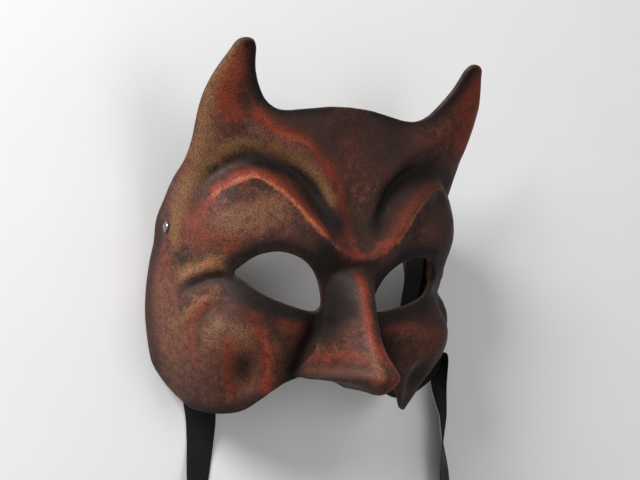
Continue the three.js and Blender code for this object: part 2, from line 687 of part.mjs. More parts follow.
// The spare length of each ribbon, in a loose roll that stands on its edge
const ROLL_SIDES = 32;
function roll(name, [x, y]) {
  const profile = [[ROLL_INNER_RADIUS, 0], [ROLL_OUTER_RADIUS, 0], [ROLL_OUTER_RADIUS, RIBBON_WIDTH],
    [ROLL_INNER_RADIUS, RIBBON_WIDTH], [ROLL_INNER_RADIUS, 0]];
  const mesh = new THREE.Mesh(turned(profile, ROLL_SIDES), grosgrain);
  mesh.name = name;
  mesh.rotation.x = Math.PI / 2;
  mesh.position.set(x, y, 0);
  return mesh;
}

const leather = new THREE.MeshStandardMaterial({ color: 0x3b2a24, roughness: 0.5, metalness: 0 });
const steel = new THREE.MeshStandardMaterial({ color: 0x8c8c8e, roughness: 0.25, metalness: 1 });
const grosgrain = new THREE.MeshStandardMaterial({ color: 0x121214, roughness: 0.85, metalness: 0 });

const mask = new THREE.Group();
mask.position.y = -OUTLINE_MIDDLE;
const shell = new THREE.Mesh(shellGeometry(), leather);
shell.name = 'mask_shell';
mask.add(shell);
mask.add(placedRivet('rivet_right', -1));
mask.add(placedRivet('rivet_left', 1));
mask.add(piercedRibbon('ribbon_right', RIBBON_RIGHT_ROUTE, -1));
mask.add(piercedRibbon('ribbon_left', RIBBON_LEFT_ROUTE, 1));
mask.add(roll('ribbon_roll_right', ROLL_RIGHT_PLACE));
mask.add(roll('ribbon_roll_left', ROLL_LEFT_PLACE));

export default mask;
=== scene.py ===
"""A devil half mask of moulded, painted leather, lying on a pale floor.

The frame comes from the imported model. This script adds the camera, the light and the finish, and
models the mask's fine surface, its two domed rivets and its two ribbons around that frame.
Sizes of the face are millimetres on the mask, as in the solid's own source, until they are placed.
+X is the wearer's left, +Y runs up the face to the horns, +Z comes out of the face. Heights on the
face are measured from the bridge of the nose, and the origin is under the middle of the mask.
"""
import math

import bpy
import numpy as np
from mathutils import Matrix, Vector, noise
from mathutils.geometry import delaunay_2d_cdt


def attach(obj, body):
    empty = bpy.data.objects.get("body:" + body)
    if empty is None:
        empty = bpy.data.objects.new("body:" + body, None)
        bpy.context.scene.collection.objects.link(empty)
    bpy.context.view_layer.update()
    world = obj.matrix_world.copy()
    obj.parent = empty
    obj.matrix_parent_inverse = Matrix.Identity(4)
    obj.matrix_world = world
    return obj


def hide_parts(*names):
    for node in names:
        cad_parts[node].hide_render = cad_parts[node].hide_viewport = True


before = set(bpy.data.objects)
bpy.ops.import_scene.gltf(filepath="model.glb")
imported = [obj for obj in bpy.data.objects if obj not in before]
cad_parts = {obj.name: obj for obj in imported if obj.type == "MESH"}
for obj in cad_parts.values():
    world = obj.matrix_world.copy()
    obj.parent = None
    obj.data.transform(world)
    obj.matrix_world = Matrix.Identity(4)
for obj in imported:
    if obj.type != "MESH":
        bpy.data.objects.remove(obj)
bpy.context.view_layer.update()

BODY = "root"
MM = 0.001
IN_MILLIMETRES = (1000, 1000, 1000)
OUTLINE_MIDDLE = 9.24         # from the bridge of the nose up to the middle of the mask

# The camera: the photograph's own angle on the face, with the mask lying under it
PHOTO_WIDTH = 640
FOCAL_PIXELS = 1787.822
CAMERA_YAW = 35.0
CAMERA_ROLL = -2.5936635
CAMERA_DISTANCE = 0.949366
CLIP_NEAR = 0.05
CLIP_FAR = 20
LOOK_AT = Vector((0.001984, 0.005792 - OUTLINE_MIDDLE * MM, 0.030))


def camera_axes():
    """The camera's right, up and back directions."""
    yaw = math.radians(CAMERA_YAW)
    roll = math.radians(CAMERA_ROLL)
    right = Vector((math.cos(yaw), 0, math.sin(yaw)))
    up = Vector((0, 1, 0))
    back = Vector((-math.sin(yaw), 0, math.cos(yaw)))
    turned_right = right * math.cos(roll) - up * math.sin(roll)
    turned_up = right * math.sin(roll) + up * math.cos(roll)
    return turned_right, turned_up, back


def make_camera():
    right, up, back = camera_axes()
    data = bpy.data.cameras.new("camera")
    data.sensor_fit = "HORIZONTAL"
    data.lens = FOCAL_PIXELS / PHOTO_WIDTH * data.sensor_width
    data.clip_start = CLIP_NEAR
    data.clip_end = CLIP_FAR
    camera = bpy.data.objects.new("camera", data)
    bpy.context.collection.objects.link(camera)
    turn = Matrix((right, up, back)).transposed().to_4x4()
    camera.matrix_world = Matrix.Translation(LOOK_AT + back * CAMERA_DISTANCE) @ turn
    bpy.context.scene.camera = camera


make_camera()

# The ribbons: two ties of black ribbed ribbon, each riveted inside a temple
RIBBON_WIDTH = 0.016
RIBBON_THICKNESS = 0.00045
RIBBON_LENGTH = 0.45
RIBBON_STEP = 0.0003          # between the mesh's rings along the ribbon
RIB_PITCH = 0.0012            # the ribbon's cross ribs
RIB_HEIGHT = 0.00009
SELVAGE = 0.0008              # the smooth woven edge, which has no ribs
EDGE_THINNESS = 0.35          # the thickness at the edges, as a share of the thickness inside
FLOOR_CLEARANCE = 0.00002
SMOOTHING_REACH = 13          # rings on either side that smooth the route's bends
ROLL_START_RADIUS = 0.0322
ROLL_PITCH = 0.0065           # how much nearer the middle each turn of the roll lies
ROLL_TURNS = 3                # more than the length needs, so that the length ends the roll
ROLL_STEPS = 1200
ROLL_RIGHT_PLACE = (-0.024, -0.172)
ROLL_LEFT_PLACE = (0.089, -0.180)

# A point on the middle of the ribbon, and how steeply its width stands on the floor, in degrees.
# At 0 it lies flat, and up to 90 its right edge rises, for someone who walks along it from the rivet.
RIBBON_RIGHT_ROUTE = (
    (-0.0789, 0.0153, 0.0161, 87), (-0.0788, 0.0088, 0.0161, 87), (-0.0786, 0.001, 0.015, 88),
    (-0.0787, -0.009, 0.013, 89), (-0.0785, -0.02, 0.011, 90), (-0.0774, -0.032, 0.0094, 90),
    (-0.074, -0.044, 0.0084, 90), (-0.0688, -0.056, 0.0082, 94), (-0.0623, -0.067, 0.0079, 106),
    (-0.056, -0.078, 0.0067, 128), (-0.0513, -0.0895, 0.004, 155),
    (-0.0493, -0.101, 0.0015, 174), (-0.0495, -0.113, 0.0013, 185),
    (-0.0506, -0.1245, 0.0026, 195), (-0.0522, -0.136, 0.0053, 218),
    (-0.0542, -0.148, 0.0077, 248), (-0.0558, -0.16, 0.0082, 266),
    (-0.0562, -0.1705, 0.0082, 270),
)
RIBBON_LEFT_ROUTE = (
    (0.0789, 0.0153, 0.0161, 93), (0.0788, 0.0088, 0.0161, 93), (0.0785, 0.001, 0.0155, 92),
    (0.0783, -0.009, 0.0146, 91), (0.078, -0.02, 0.0132, 88), (0.0766, -0.031, 0.0108, 80),
    (0.0728, -0.041, 0.008, 60), (0.0686, -0.049, 0.0048, 34), (0.068, -0.057, 0.0021, 13),
    (0.0694, -0.0658, 0.0008, 2), (0.0756, -0.072, 0.0004, 0), (0.084, -0.0744, 0.0004, 0),
    (0.0906, -0.0716, 0.0009, 3), (0.0949, -0.0664, 0.0037, 24), (0.0974, -0.0606, 0.0071, 58),
    (0.0999, -0.0556, 0.0082, 86), (0.103, -0.055, 0.0083, 92), (0.1044, -0.0596, 0.0083, 92),
    (0.1043, -0.066, 0.0083, 91), (0.105, -0.075, 0.0082, 85), (0.1072, -0.085, 0.008, 75.5),
    (0.1096, -0.094, 0.0075, 64), (0.1104, -0.1045, 0.007, 55), (0.1119, -0.113, 0.0062, 45),
    (0.1153, -0.13, 0.0048, 32), (0.1173, -0.142, 0.006, 46), (0.1188, -0.152, 0.0077, 70),
    (0.12, -0.163, 0.0082, 88), (0.1212, -0.1785, 0.0082, 90),
)


def rounded_line(points, closed=False, parts=12):
    """A smooth curve through the rows of points, as a dense array.

    Only a row's place, its first three columns at most, spaces the curve out, by the square root of
    the distance to the next, so that rows at uneven distances make no loops.
    """
    rows = np.asarray(points, float)
    count = len(rows)
    pieces = []
    for i in range(count if closed else count - 1):
        here = rows[i]
        there = rows[(i + 1) % count]
        before = rows[i - 1] if closed or i > 0 else 2 * here - there
        after = rows[(i + 2) % count] if closed or i + 2 < count else 2 * there - here
        knots = [0.0]
        for a, b in ((before, here), (here, there), (there, after)):
            knots.append(knots[-1] + max(np.linalg.norm((b - a)[:3]), 1e-9) ** 0.5)
        t = np.linspace(knots[1], knots[2], parts, endpoint=False)[:, None]

        def blend(a, b, start, end):
            return ((end - t) * a + (t - start) * b) / (end - start)

        first = blend(before, here, knots[0], knots[1])
        second = blend(here, there, knots[1], knots[2])
        third = blend(there, after, knots[2], knots[3])
        left = blend(first, second, knots[0], knots[2])
        right = blend(second, third, knots[1], knots[3])
        pieces.append(blend(left, right, knots[1], knots[2]))
    if not closed:
        pieces.append(rows[-1:])
    return np.concatenate(pieces)


def unit(vectors):
    return vectors / np.linalg.norm(vectors, axis=1)[:, None]


def lengths_along(line, columns=3):
    steps = np.linalg.norm(np.diff(line[:, :columns], axis=0), axis=1)
    return np.concatenate([[0.0], np.cumsum(steps)])


def resampled(line, places, columns=3):
    """The rows of a line at the given distances along it."""
    along = lengths_along(line, columns)
    return np.stack([np.interp(places, along, column) for column in line.T], axis=1)


def ribbon_line(route, place, start_angle, direction):
    """Rows x, y, z, width angle along the whole ribbon: its route, then the turns of its roll."""
    laid = rounded_line(route)
    turns = np.linspace(0, ROLL_TURNS, ROLL_STEPS + 1)[1:]
    radius = ROLL_START_RADIUS - ROLL_PITCH * turns
    angle = start_angle + direction * 2 * math.pi * turns
    roll = np.stack([place[0] + radius * np.cos(angle), place[1] + radius * np.sin(angle),
                     np.full(len(turns), laid[-1, 2]), np.full(len(turns), laid[-1, 3])], axis=1)
    whole = np.concatenate([laid, roll])
    places = np.arange(0, RIBBON_LENGTH + RIBBON_STEP / 2, RIBBON_STEP)
    line = resampled(whole, places)
    kernel = np.hanning(2 * SMOOTHING_REACH + 1)
    kernel /= kernel.sum()
    reach = (SMOOTHING_REACH, SMOOTHING_REACH)
    padded = np.pad(line, (reach, (0, 0)), mode="reflect", reflect_type="odd")
    smooth = np.stack([np.convolve(column, kernel, mode="valid") for column in padded.T], axis=1)
    smooth[:, 1] -= OUTLINE_MIDDLE * MM
    return smooth


def mesh_object(name, vertices, faces, material):
    mesh = bpy.data.meshes.new(name)
    mesh.from_pydata([tuple(v) for v in vertices], [], [tuple(int(i) for i in f) for f in faces])
    mesh.validate()
    mesh.polygons.foreach_set("use_smooth", [True] * len(mesh.polygons))
    mesh.materials.append(material)
    obj = bpy.data.objects.new(name, mesh)
    bpy.context.collection.objects.link(obj)
    return obj


def add_number(mesh, name, values):
    mesh.attributes.new(name, "FLOAT", "POINT").data.foreach_set("value", np.asarray(values, np.float32))


def add_vector(mesh, name, rows):
    vectors = mesh.attributes.new(name, "FLOAT_VECTOR", "POINT")
    vectors.data.foreach_set("vector", np.asarray(rows, np.float32).ravel())


def make_ribbon(name, line, material):
    """A flat woven ribbon: cross ribs on both faces, a smooth selvage along both edges."""
    centre = line[:, :3]
    tangent = unit(np.gradient(centre, axis=0))
    angle = np.radians(line[:, 3])
    level = unit(np.cross(tangent, (0, 0, 1)))
    width = level * np.cos(angle)[:, None] + np.cross(level, tangent) * np.sin(angle)[:, None]
    through = np.cross(tangent, width)
    along = lengths_along(centre)
    half = RIBBON_WIDTH / 2
    inner = half - SELVAGE
    across = np.array([-half, -inner, -inner * 0.5, 0, inner * 0.5, inner, half])
    ribbed = np.array([0, 0, 1, 1, 1, 0, 0])
    edge = np.array([EDGE_THINNESS, 1, 1, 1, 1, 1, EDGE_THINNESS])
    side = np.repeat([1.0, -1.0], len(edge))
    across, ribbed, edge = (np.concatenate([row, row[::-1]]) for row in (across, ribbed, edge))
    ring = len(across)
    wave = RIB_HEIGHT * np.cos(2 * math.pi * along / RIB_PITCH)
    lift = side * edge * RIBBON_THICKNESS / 2 + side * ribbed * wave[:, None] / 2
    points = (centre[:, None, :] + across[None, :, None] * width[:, None, :]
              + lift[:, :, None] * through[:, None, :])
    points[:, :, 2] = np.maximum(points[:, :, 2], FLOOR_CLEARANCE)
    count = len(centre)
    faces = []
    for i in range(count - 1):
        for k in range(ring):
            after = (k + 1) % ring
            faces.append((i * ring + k, (i + 1) * ring + k, (i + 1) * ring + after, i * ring + after))
    faces.append(tuple(range(ring)))
    faces.append(tuple((count - 1) * ring + k for k in reversed(range(ring))))
    ribbon = mesh_object(name, points.reshape(-1, 3), faces, material)
    rows = np.zeros((count, ring, 3))
    rows[:, :, 0] = along[:, None]
    rows[:, :, 1] = across[None, :]
    rows[:, :, 2] = side[None, :] * half
    add_vector(ribbon.data, "weave", rows)
    return ribbon


# The face: the same named sizes as in the solid's source, in millimetres
WALL = 3.0
UNROLL_RADIUS = 80.0          # the face is worked out on a flat sheet, unrolled from this radius
FOOT = math.pi / 2 * UNROLL_RADIUS
FOOT_TOP = 8.0                # the straight side rim that the mask lies on, between these heights
FOOT_BOTTOM = -60.0

# Cross-sections of the face: height on the face, half width, depth at the middle, squareness
SECTIONS = (
    (-92, 66, 55, 2.3), (-75, 75, 56, 2.7), (-60, 81, 57, 3.0), (-45, 84.5, 59, 3.0),
    (-30, 86, 61, 3.0), (-12, 85, 65, 3.0), (2, 82.5, 68, 3.0), (19, 83, 64, 3.1),
    (40, 87.5, 59.5, 3.3), (60, 93, 57.5, 3.8), (75, 96.5, 56, 4.0), (105, 99, 57, 4.0),
)

# Ridges and creases: the line from its inner end, height at both ends, width on the line's left
# and on its right, and the share of its length over which each end fades
LINES = {
    "browRidge": (
        ((-12, -1.5), (0, -3.5), (9, -2), (17.5, 2.5), (26.4, 10.7), (33.2, 16.3), (40.7, 23.1),
         (47.7, 29), (54.5, 34.5), (61.5, 38), (66.6, 36.6), (71.9, 33), (77.7, 28.8), (84, 24)),
        (6.5, 3.2), (3.4, 7), (0, 0.3)),
    "browGroove": (
        ((13, 7.5), (21.3, 18.6), (28.3, 25.5), (37.5, 34.3), (46, 40.5), (55.2, 44.5), (63.7, 47),
         (70.2, 45.2), (76.7, 42.5), (84.2, 36.3), (90.1, 26.3), (93.5, 18.6), (97.6, 9.6),
         (102.4, -3.6), (105.5, -13.3)),
        (-6, -3.2), (5.5, 5.5), (0.22, 0.6)),
    "foreheadRidge": (
        ((6, 13), (8, 21), (12, 29.2), (18.6, 36), (28.6, 41.3), (37.3, 47.2), (49, 54), (59, 60),
         (66, 64.4), (69, 76)),
        (2.8, 2.5), (7, 5.5), (0.5, 0.25)),
    "templeRidge": (
        ((66.5, 98), (71.7, 87.3), (78.7, 72.4), (82.5, 62), (90.3, 46.7), (94.2, 37.8),
         (101.9, 18.3), (104.5, 10), (110, -3), (111, -14), (112, -28)),
        (3, 2), (6, 7), (0.15, 0.35)),
    "upperCrowRidge": (
        ((75, -10), (83.5, -12), (90.1, -15.8), (98, -22)), (1.3, 1.3), (4, 3), (0.3, 0.3)),
    "upperCrowCrease": (
        ((75, -15.5), (84, -15.6), (89.1, -18), (96, -22.5)), (-1.8, -1.8), (2.6, 2.6), (0.2, 0.3)),
    "lowerCrowRidge": (
        ((75, -18.5), (80.4, -22.5), (85.9, -27.7), (88.8, -33), (91, -42), (92.5, -58)),
        (1.7, 1.7), (3.2, 4), (0.25, 0.6)),
    "lowerCrowCrease": (
        ((72, -25), (79.5, -31), (83.5, -40), (84.5, -51)), (-1.6, -1.6), (3.5, 3.5), (0.2, 0.6)),
    "cheekCrease": (
        ((18, -33), (27, -45), (34, -56), (37.5, -64), (37, -74)), (-4, -7), (7, 7), (0.3, 0)),
    "nostrilWing": (
        ((6, -57), (14, -57.5), (22, -60), (29, -63.5), (34, -68)), (5, 4), (5, 9), (0.35, 0.2)),
    "wingCrease": (
        ((12.5, -42), (19.4, -50.7), (26.9, -57.4), (33.5, -63)), (-1.5, -3), (3.5, 3.5), (0.35, 0.1)),
}

# Rounded swellings and hollows: place, half sizes, height, turn in degrees
MOUNDS = {
    "browPad": ((74, 15), (24, 17), 6.6, 0),
    "cheek": ((70, -46), (25, 20), 9.5, 0),
    "cheekDimple": ((66.5, -65), (7.5, 11.5), -6, 25),
    "foreheadHollow": ((0, 17), (14, 12), -3, 0),
    "foreheadSide": ((48, 74), (14, 14), -3, 0),
    "eyeCorner": ((80, -19), (14, 10), -3.5, 0),
}

# The horns lean forward more and more above this height, along a line that runs up and inwards
HORN_START = 50
HORN_RISE = 50
HORN_LEAN = 19
HORN_CURL = 1.5
HORN_PLACE = 91
HORN_PLACE_SHIFT = -22
HORN_SPREAD = 20

# The nose's middle line: place on the sheet, height on the face, depth
NOSE_PROFILE = (
    (-90, -70, 62), (-82, -70, 72), (-77, -70.5, 82), (-72.5, -71, 90.5), (-69.5, -69.5, 95.5),
    (-66, -66, 99), (-61.5, -61.5, 100.5), (-57, -57, 98.2), (-52, -52, 93.6), (-46, -46, 89.2),
    (-38, -38, 85.2), (-28, -28, 81.2), (-18, -18, 77.8), (-12, -12, 74.5), (-6, -6, 71),
)
# Its half width on the sheet, and the share of that which its blunt ridge takes
NOSE_WIDTH = ((-92, 33), (-70, 33), (-62, 31), (-55, 26), (-47, 21.5), (-38, 19), (-27, 20.5),
              (-16, 20), (-6, 14))
NOSE_BLUNT = ((-92, 0.45), (-66, 0.45), (-56, 0.42), (-47, 0.43), (-38, 0.44), (-28, 0.36),
              (-18, 0.28), (-6, 0.35))
NOSE_SQUARE = 3.0             # how square the shoulders of the ridge are
NOSE_HOLLOW = 1.2             # how hollow its flanks are
NOSE_TOP = -2                 # the nose grows out of the brow over this height
NOSE_ROOT = 12
NOSTRIL_FOLD = -61.5          # below this the nose's underside runs back level
NOSTRIL_RADIUS = 4
NOSE_TIP_SPREAD = 11
NOSE_FLANK_END = 0.3
NOSE_WING_END = 1.25          # the level underside ends this far out, as a share of the width
NOSE_INSIDE_BLUNTER = 0.12

# The eye socket sinks towards the eye hole
SOCKET_DEPTH = 1.8
SOCKET_SPREAD = 8

# The eye hole on the wearer's left
EYE = ((72.3, -13.3), (67.1, -8.3), (61.2, -4.1), (55.7, -2.1), (50.4, -1.3), (43.5, -2.1),
       (36, -5), (29.5, -9.8), (25, -15.5), (22.2, -22.3), (21.5, -28), (23.5, -30.8),
       (27.5, -31.1), (39.5, -28.7), (51.6, -25), (60.3, -21), (66.6, -17))

# The rim on the wearer's left, from the middle of the forehead round the horn to under the nose
RIM = ((0, 75.3), (18, 74.7), (28.3, 73.6), (41.3, 72.2), (49, 71.2), (54.5, 71.3), (58.3, 73),
       (61, 76), (62.9, 81.6), (63.6, 88.8), (63.1, 95), (62.6, 99.5), (63.4, 102.3), (66, 102.6),
       (69, 101), (72, 96.3), (77.8, 86.8), (82.6, 77.2), (85.4, 70), (87.8, 62.7),
       (91.3, 52.7), (96.6, 42.7), (105.7, 33.9), (115.1, 23.7), (122.6, 15.6), (FOOT, FOOT_TOP),
       (FOOT, -26), (FOOT, FOOT_BOTTOM), (123.4, -65.4), (119.7, -69.9), (115.1, -74.5),
       (108.9, -79.2), (102, -83.6), (91.5, -85.4), (80, -85.3), (68.5, -83), (57.9, -77),
       (49.4, -71.6), (41, -68), (34, -69), (30, -75), (24, -83), (13, -88.5), (0, -90))

INSIDE_RIDGE_SHARE = 0.6      # of a ridge's height on the inside of the shell
INSIDE_CREASE_WIDER = 1.5
LINE_PARTS = 5                # steps between two points of a line on the sheet
SHARE_BLUR = 2.0              # averages how far along a line a place is, so that it doesn't jump


def ease(x):
    t = np.clip(x, 0, 1)
    return t * t * (3 - 2 * t)


def bell(x):
    return np.exp(-x * x)


def follow(rows, x, column=1):
    """A smooth curve through the rows of a table, from its first column to another."""
    table = np.asarray(rows, float)
    places = table[:, 0]
    values = table[:, column]
    ends = np.diff(values) / np.diff(places)
    middle = (values[2:] - values[:-2]) / (places[2:] - places[:-2])
    slopes = np.concatenate([ends[:1], middle, ends[-1:]])
    x = np.clip(x, places[0], places[-1])
    i = np.clip(np.searchsorted(places, x, side="right") - 1, 0, len(places) - 2)
    step = places[i + 1] - places[i]
    t = (x - places[i]) / step
    t2 = t * t
    t3 = t2 * t
    return ((2 * t3 - 3 * t2 + 1) * values[i] + (t3 - 2 * t2 + t) * step * slopes[i]
            + (3 * t2 - 2 * t3) * values[i + 1] + (t3 - t2) * step * slopes[i + 1])


def along_line(around, up, line):
    """How far places on the sheet are from a line, positive on its left, and how far along it."""
    start = line[:-1]
    step = np.diff(line, axis=0)
    length = np.hypot(step[:, 0], step[:, 1])
    from_x = around[:, None] - start[:, 0]
    from_y = up[:, None] - start[:, 1]
    t = np.clip((from_x * step[:, 0] + from_y * step[:, 1]) / length ** 2, 0, 1)
    off_x = from_x - t * step[:, 0]
    off_y = from_y - t * step[:, 1]
    away = np.hypot(off_x, off_y)
    closest = away.argmin(axis=1)
    every = np.arange(len(around))
    nearest = away[every, closest]
    turn = step[closest, 0] * off_y[every, closest] - step[closest, 1] * off_x[every, closest]
    weight = np.exp((nearest[:, None] - away) / SHARE_BLUR)
    reached = lengths_along(line, 2)[:-1] + t * length
    share = (weight * reached).sum(axis=1) / weight.sum(axis=1) / length.sum()
    return np.sign(turn) * nearest, share


def inside_loop(x, y, loop):
    inside = np.zeros(len(x), bool)
    for i in range(len(loop)):
        ax, ay = loop[i]
        bx, by = loop[(i + 1) % len(loop)]
        if ay == by:
            continue
        crossing = (ay > y) != (by > y)
        inside ^= crossing & (x < (bx - ax) * (y - ay) / (by - ay) + ax)
    return inside


CARVED = {name: (rounded_line(row[0], parts=LINE_PARTS), *row[1:]) for name, row in LINES.items()}
EYE_LOOP = rounded_line(EYE, closed=True, parts=LINE_PARTS)
EYE_PATH = np.concatenate([EYE_LOOP, EYE_LOOP[:1]])


def carving(around, up, inside):
    """How far the carving stands out of the plain curve of the face."""
    height = np.zeros(len(around))
    for path, tall_ends, widths, fade in CARVED.values():
        side, share = along_line(around, up, path)
        crease = tall_ends[0] < 0
        width = np.where(side > 0, widths[0], widths[1])
        tall = tall_ends[0] + (tall_ends[1] - tall_ends[0]) * share
        if inside and crease:
            width = width + INSIDE_CREASE_WIDER
        if inside and not crease:
            tall = tall * INSIDE_RIDGE_SHARE
        if fade[0] > 0:
            tall = tall * ease(share / fade[0])
        if fade[1] > 0:
            tall = tall * ease((1 - share) / fade[1])
        height += tall * bell(side / width)
    for at, size, tall, turn in MOUNDS.values():
        angle = math.radians(turn)
        dx = around - at[0]
        dy = up - at[1]
        a = (dx * math.cos(angle) + dy * math.sin(angle)) / size[0]
        b = (dy * math.cos(angle) - dx * math.sin(angle)) / size[1]
        height += tall * np.exp(-(a * a + b * b))
    rise = np.maximum((up - HORN_START) / HORN_RISE, 0)
    middle = HORN_PLACE + HORN_PLACE_SHIFT * rise
    height += HORN_LEAN * rise ** HORN_CURL * bell((around - middle) / HORN_SPREAD)
    side, _ = along_line(around, up, EYE_PATH)
    from_eye = np.where(inside_loop(around, up, EYE_LOOP), 0, np.abs(side))
    return height - SOCKET_DEPTH * bell(from_eye / SOCKET_SPREAD)


def section_radius(angle, up):
    """How far the plain face is from its upright middle line, before any carving."""
    power = follow(SECTIONS, up, 3)
    wide = np.abs(np.sin(angle)) / follow(SECTIONS, up, 1)
    deep = np.abs(np.cos(angle)) / follow(SECTIONS, up, 2)
    return (wide ** power + deep ** power) ** (-1 / power)


def face_point(around, up, inside=False):
    """Places on the flat sheet, on the wearer's left half, as places on the face."""
    angle = around / UNROLL_RADIUS
    radius = section_radius(angle, up) + carving(around, up, inside)
    depth = radius * np.cos(angle)
    wide = follow(NOSE_WIDTH, up)
    blunt = follow(NOSE_BLUNT, up) + (NOSE_INSIDE_BLUNTER if inside else 0)
    t = np.clip(np.abs(around) / wide, 0, 1)

    def from_ridge(share):
        return (share ** NOSE_SQUARE + blunt ** NOSE_SQUARE) ** (1 / NOSE_SQUARE)

    straight = (from_ridge(1) - from_ridge(t)) / (from_ridge(1) - blunt)
    flank = straight ** NOSE_HOLLOW * np.sqrt(ease((1 - t) / NOSE_FLANK_END))
    root = ease((NOSE_TOP - up) / NOSE_ROOT)
    nil = np.zeros(len(around))
    middle = section_radius(nil, up) + carving(nil, up, inside)
    depth = depth + flank * root * (follow(NOSE_PROFILE, up, 2) - middle)
    below = np.maximum(NOSTRIL_FOLD - up, 0)
    level = np.where(below > 0, NOSTRIL_FOLD - NOSTRIL_RADIUS * (1 - np.exp(-below / NOSTRIL_RADIUS)), up)
    wing = ease((NOSE_WING_END - around / wide) / NOSE_FLANK_END)
    tip = bell(around / NOSE_TIP_SPREAD)
    shift = (level - up) * wing * (1 - tip) + (follow(NOSE_PROFILE, up, 1) - up) * tip
    height = up + np.where(up < NOSTRIL_FOLD + NOSTRIL_RADIUS, shift, 0)
    return np.stack([radius * np.sin(angle), height, depth], axis=1)


def place_on_floor(points):
    """Places on the face in millimetres, as places in the scene in metres."""
    moved = np.asarray(points, float) - np.array([0, OUTLINE_MIDDLE, 0])
    return moved * MM


NORMAL_SPAN = 3.0

# Where the nose turns under, the inside is drawn towards the nose's own middle line, its heart,
# so that the inner skin doesn't fold over itself
HEART_HEIGHT = -52.0
HEART_BACK = 12.0
HEART_SIDEWAYS = 2.2
HEART_SIDE_MOST = 10.0
HEART_FROM = 12.0
HEART_SHARE = 0.9
HEART_REACH = 13.0
HEART_WALL = 1.25             # the wall is measured aslant there, so it gets this much more


def face_normal(around, up, inside=False):
    """The direction out of the face, taken over a small span."""
    across = face_point(around + NORMAL_SPAN, up, inside)
    before = around - NORMAL_SPAN
    left = face_point(np.abs(before), up, inside)
    left[before < 0, 0] *= -1
    along = face_point(around, up + NORMAL_SPAN, inside) - face_point(around, up - NORMAL_SPAN, inside)
    return unit(np.cross(across - left, along))


def inner_point(around, up):
    """The inside of the shell, one wall in, drawn to the nose's middle line where it turns under."""
    place = face_point(around, up, True)
    inwards = -face_normal(around, up, True)
    sideways = -HEART_SIDEWAYS * np.minimum(place[:, 0], HEART_SIDE_MOST)
    to_heart = unit(np.stack([sideways, HEART_HEIGHT - place[:, 1],
                              np.full(len(around), -HEART_BACK)], axis=1))
    below = ease((NOSTRIL_FOLD + HEART_REACH - up) / HEART_REACH)
    beside = ease((NOSE_WIDTH[0][1] + HEART_REACH - around) / HEART_REACH)
    share = (HEART_SHARE * below * beside * ease(around / HEART_FROM))[:, None]
    direction = unit(inwards * (1 - share) + to_heart * share)
    return place + direction * WALL * (1 + (HEART_WALL - 1) * share)


# The shell's fine mesh
OUTER_GRAIN = 1.05            # spacing of the points on the outside
INNER_GRAIN = 1.7             # and on the inside
EDGE_GRAIN = 1.15             # spacing along every edge
EDGE_ROUND = 1.2              # how far in from the edge its rounding begins
EDGE_STEPS = 6                # faces round the edge, from the outside to the inside
EDGE_MARGIN = 0.6             # the inner points keep this share of the grain away from an edge
WELD_DISTANCE = 1e-6
RIVET_PLACE = (110.9, 8.9)
RIVET_HOLE_RADIUS = 1.5
RIVET_HOLE_ROUND = EDGE_ROUND / 3
RIVET_HOLE_SIDES = 20


def evenly(line, spacing, closed=False):
    total = lengths_along(line, 2)[-1]
    count = max(1, round(total / spacing))
    return resampled(line, np.linspace(0, total, count + 1)[:-1 if closed else None], 2)


def flat_inwards(line, closed):
    """The direction into the leather, which is always on the right of an edge's travel."""
    if closed:
        step = np.roll(line, -1, axis=0) - np.roll(line, 1, axis=0)
    else:
        step = np.gradient(line, axis=0)
    return unit(np.stack([step[:, 1], -step[:, 0]], axis=1))


def edge_lines():
    """Each edge of the half sheet, with the line where its rounding begins."""
    rim = evenly(rounded_line(RIM, parts=LINE_PARTS), EDGE_GRAIN)
    rim[:, 0] = np.minimum(rim[:, 0], FOOT)
    rim_start = rim + EDGE_ROUND * flat_inwards(rim, False)
    rim_start[[0, -1], 0] = 0
    eye = evenly(EYE_PATH, EDGE_GRAIN, closed=True)
    eye_start = eye + EDGE_ROUND * flat_inwards(eye, True)
    turn = np.linspace(0, 2 * math.pi, RIVET_HOLE_SIDES, endpoint=False)
    circle = np.stack([np.cos(turn), np.sin(turn)], axis=1)
    hole = RIVET_PLACE + RIVET_HOLE_RADIUS * circle
    hole_start = RIVET_PLACE + (RIVET_HOLE_RADIUS + RIVET_HOLE_ROUND) * circle
    return (rim, rim_start, False), (eye, eye_start, True), (hole, hole_start, True)


def skin_points(edges, grain):
    """Even triangles over the half sheet. The edges' own points come first."""
    starts = [start for _, start, _ in edges]
    rim = starts[0]
    middle = evenly(np.array([rim[-1], rim[0]]), grain)[1:-1]
    outline = np.concatenate([rim, middle])
    fixed = np.concatenate([*starts, middle])
    step = grain * math.sqrt(3) / 2
    rows = np.arange(outline[:, 1].min(), outline[:, 1].max(), step)
    places = np.arange(0, FOOT + grain, grain)
    x, y = np.meshgrid(places, rows)
    x = x + (np.arange(len(rows)) % 2)[:, None] * grain / 2
    spread = np.stack([x.ravel(), y.ravel()], axis=1)

    def open_leather(points):
        kept = inside_loop(points[:, 0], points[:, 1], outline)
        for start in starts[1:]:
            kept &= ~inside_loop(points[:, 0], points[:, 1], start)
        return kept

    spread = spread[open_leather(spread)]
    for start in (outline, *starts[1:]):
        loop = np.concatenate([start, start[:1]])
        side, _ = along_line(spread[:, 0], spread[:, 1], loop)
        spread = spread[np.abs(side) > EDGE_MARGIN * grain]
    points = np.concatenate([fixed, spread])
    joined = []
    begin = 0
    for _, start, closed in edges:
        count = len(start)
        joined += [(begin + i, begin + i + 1) for i in range(count - 1)]
        if closed:
            joined.append((begin + count - 1, begin))
        begin += count
    found = delaunay_2d_cdt([Vector(p) for p in points], joined, [], 0, WELD_DISTANCE)
    assert len(found[0]) == len(points)
    triangles = np.array(found[2])
    centres = points[triangles].mean(axis=1)
    return points, triangles[open_leather(centres)]


